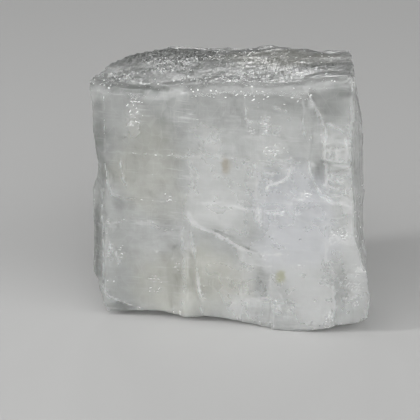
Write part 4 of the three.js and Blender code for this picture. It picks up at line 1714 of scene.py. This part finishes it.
@dataclass
class Studio:
    """The floor, the lamps and the camera. Lengths are in metres.

    Attributes:
        floor_size: the side of the square floor.
        floor_drop: how far the floor is under the crystal, so that they don't share a plane.
        lens: the camera's focal length, in millimetres.
        sensor: how wide its sensor is, in millimetres.
        nearest: how near the camera can see.
        azimuth: where it stands, in degrees, with 0 in front of the crystal.
        elevation: how high it stands, in degrees.
        distance: how far it is from its target.
        target: what it looks at.
        lit: what the lamps look at.
        lamps: the lamps.
        ambient: how strong the light from all around is.
    """

    floor_size: float = 3.0
    floor_drop: float = 0.00002
    lens: float = 150.0
    sensor: float = 36.0
    nearest: float = 0.01
    azimuth: float = 11.0
    elevation: float = 20.0
    distance: float = 0.178
    target: tuple[float, float, float] = (-0.00286, -0.0006, 0.01003)
    lit: tuple[float, float, float] = (0.0, 0.0, 0.013)
    lamps: tuple[Lamp, ...] = (
        Lamp("key", -18.0, 24.0, 0.45, 0.7, 3.2),
        Lamp("fill", 50.0, 15.0, 0.45, 0.6, 2.9),
        Lamp("spark side", -60.0, 20.0, 0.36, 0.04, 0.6),
        Lamp("spark behind", -169.0, 30.0, 0.4, 0.04, 0.07),
        Lamp("spark behind left", 168.0, 20.0, 0.4, 0.04, 0.07),
        Lamp("spark behind right", -155.0, 38.0, 0.4, 0.04, 0.06),
    )
    ambient: float = 0.1

    def build(self) -> None:
        """Builds the floor, the lamps, the surroundings and the camera."""
        self.build_camera()
        self.build_floor()
        for lamp in self.lamps:
            lamp.build(Vector(self.lit))
        world = bpy.data.worlds.new("studio")
        world.use_nodes = True
        background = world.node_tree.nodes["Background"]
        background.inputs["Color"].default_value = (1.0, 1.0, 1.0, 1.0)
        background.inputs["Strength"].default_value = self.ambient
        bpy.context.scene.world = world
        bpy.context.scene.view_settings.view_transform = "Standard"

    def build_floor(self) -> bpy.types.Object:
        """Lays the floor just under the crystal.

        Returns:
            The floor.
        """
        half = self.floor_size / 2
        corners = [(-half, -half, 0), (half, -half, 0), (half, half, 0), (-half, half, 0)]
        mesh = bpy.data.meshes.new("floor")
        mesh.from_pydata(corners, [], [(0, 1, 2, 3)])
        mesh.materials.append(FloorFinish().build())
        floor = bpy.data.objects.new("floor", mesh)
        floor.location.z = -self.floor_drop
        bpy.context.scene.collection.objects.link(floor)
        return floor

    def build_camera(self) -> bpy.types.Object:
        """Places the camera and turns it to its target.

        Returns:
            The camera.
        """
        data = bpy.data.cameras.new("camera")
        data.lens = self.lens
        data.sensor_width = self.sensor
        data.clip_start = self.nearest
        away = self.distance * direction(self.azimuth, self.elevation)
        camera = add_aimed(data, Vector(self.target), away)
        bpy.context.scene.camera = camera
        return camera


def direction(azimuth: float, elevation: float) -> Vector:
    """Gives the direction to a place, from its degrees round (0 is in front) and degrees up."""
    turn, rise = math.radians(azimuth), math.radians(elevation)
    return Vector((math.sin(turn) * math.cos(rise), -math.cos(turn) * math.cos(rise), math.sin(rise)))


def add_aimed(data: bpy.types.ID, target: Vector, away: Vector) -> bpy.types.Object:
    """Adds a lamp or a camera that looks at its target.

    Args:
        data: the lamp's or the camera's data, which gives the object its name.
        target: what it looks at.
        away: how it lies from the target.

    Returns:
        The object.
    """
    thing = bpy.data.objects.new(data.name, data)
    thing.location = target + away
    thing.rotation_euler = (target - thing.location).to_track_quat("-Z", "Y").to_euler()
    bpy.context.scene.collection.objects.link(thing)
    return thing


def main() -> None:
    """Builds the studio and the crystal, and writes how large the model is."""
    logging.basicConfig(level=logging.INFO, format="%(name)s: %(message)s")
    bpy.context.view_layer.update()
    Studio().build()
    crystal = BerylloniteCrystal(CrystalForm(), BerylloniteFinish()).build()
    LOG.info("%s rides on %s", crystal.name, BODY)


if __name__ == "__main__":
    main()
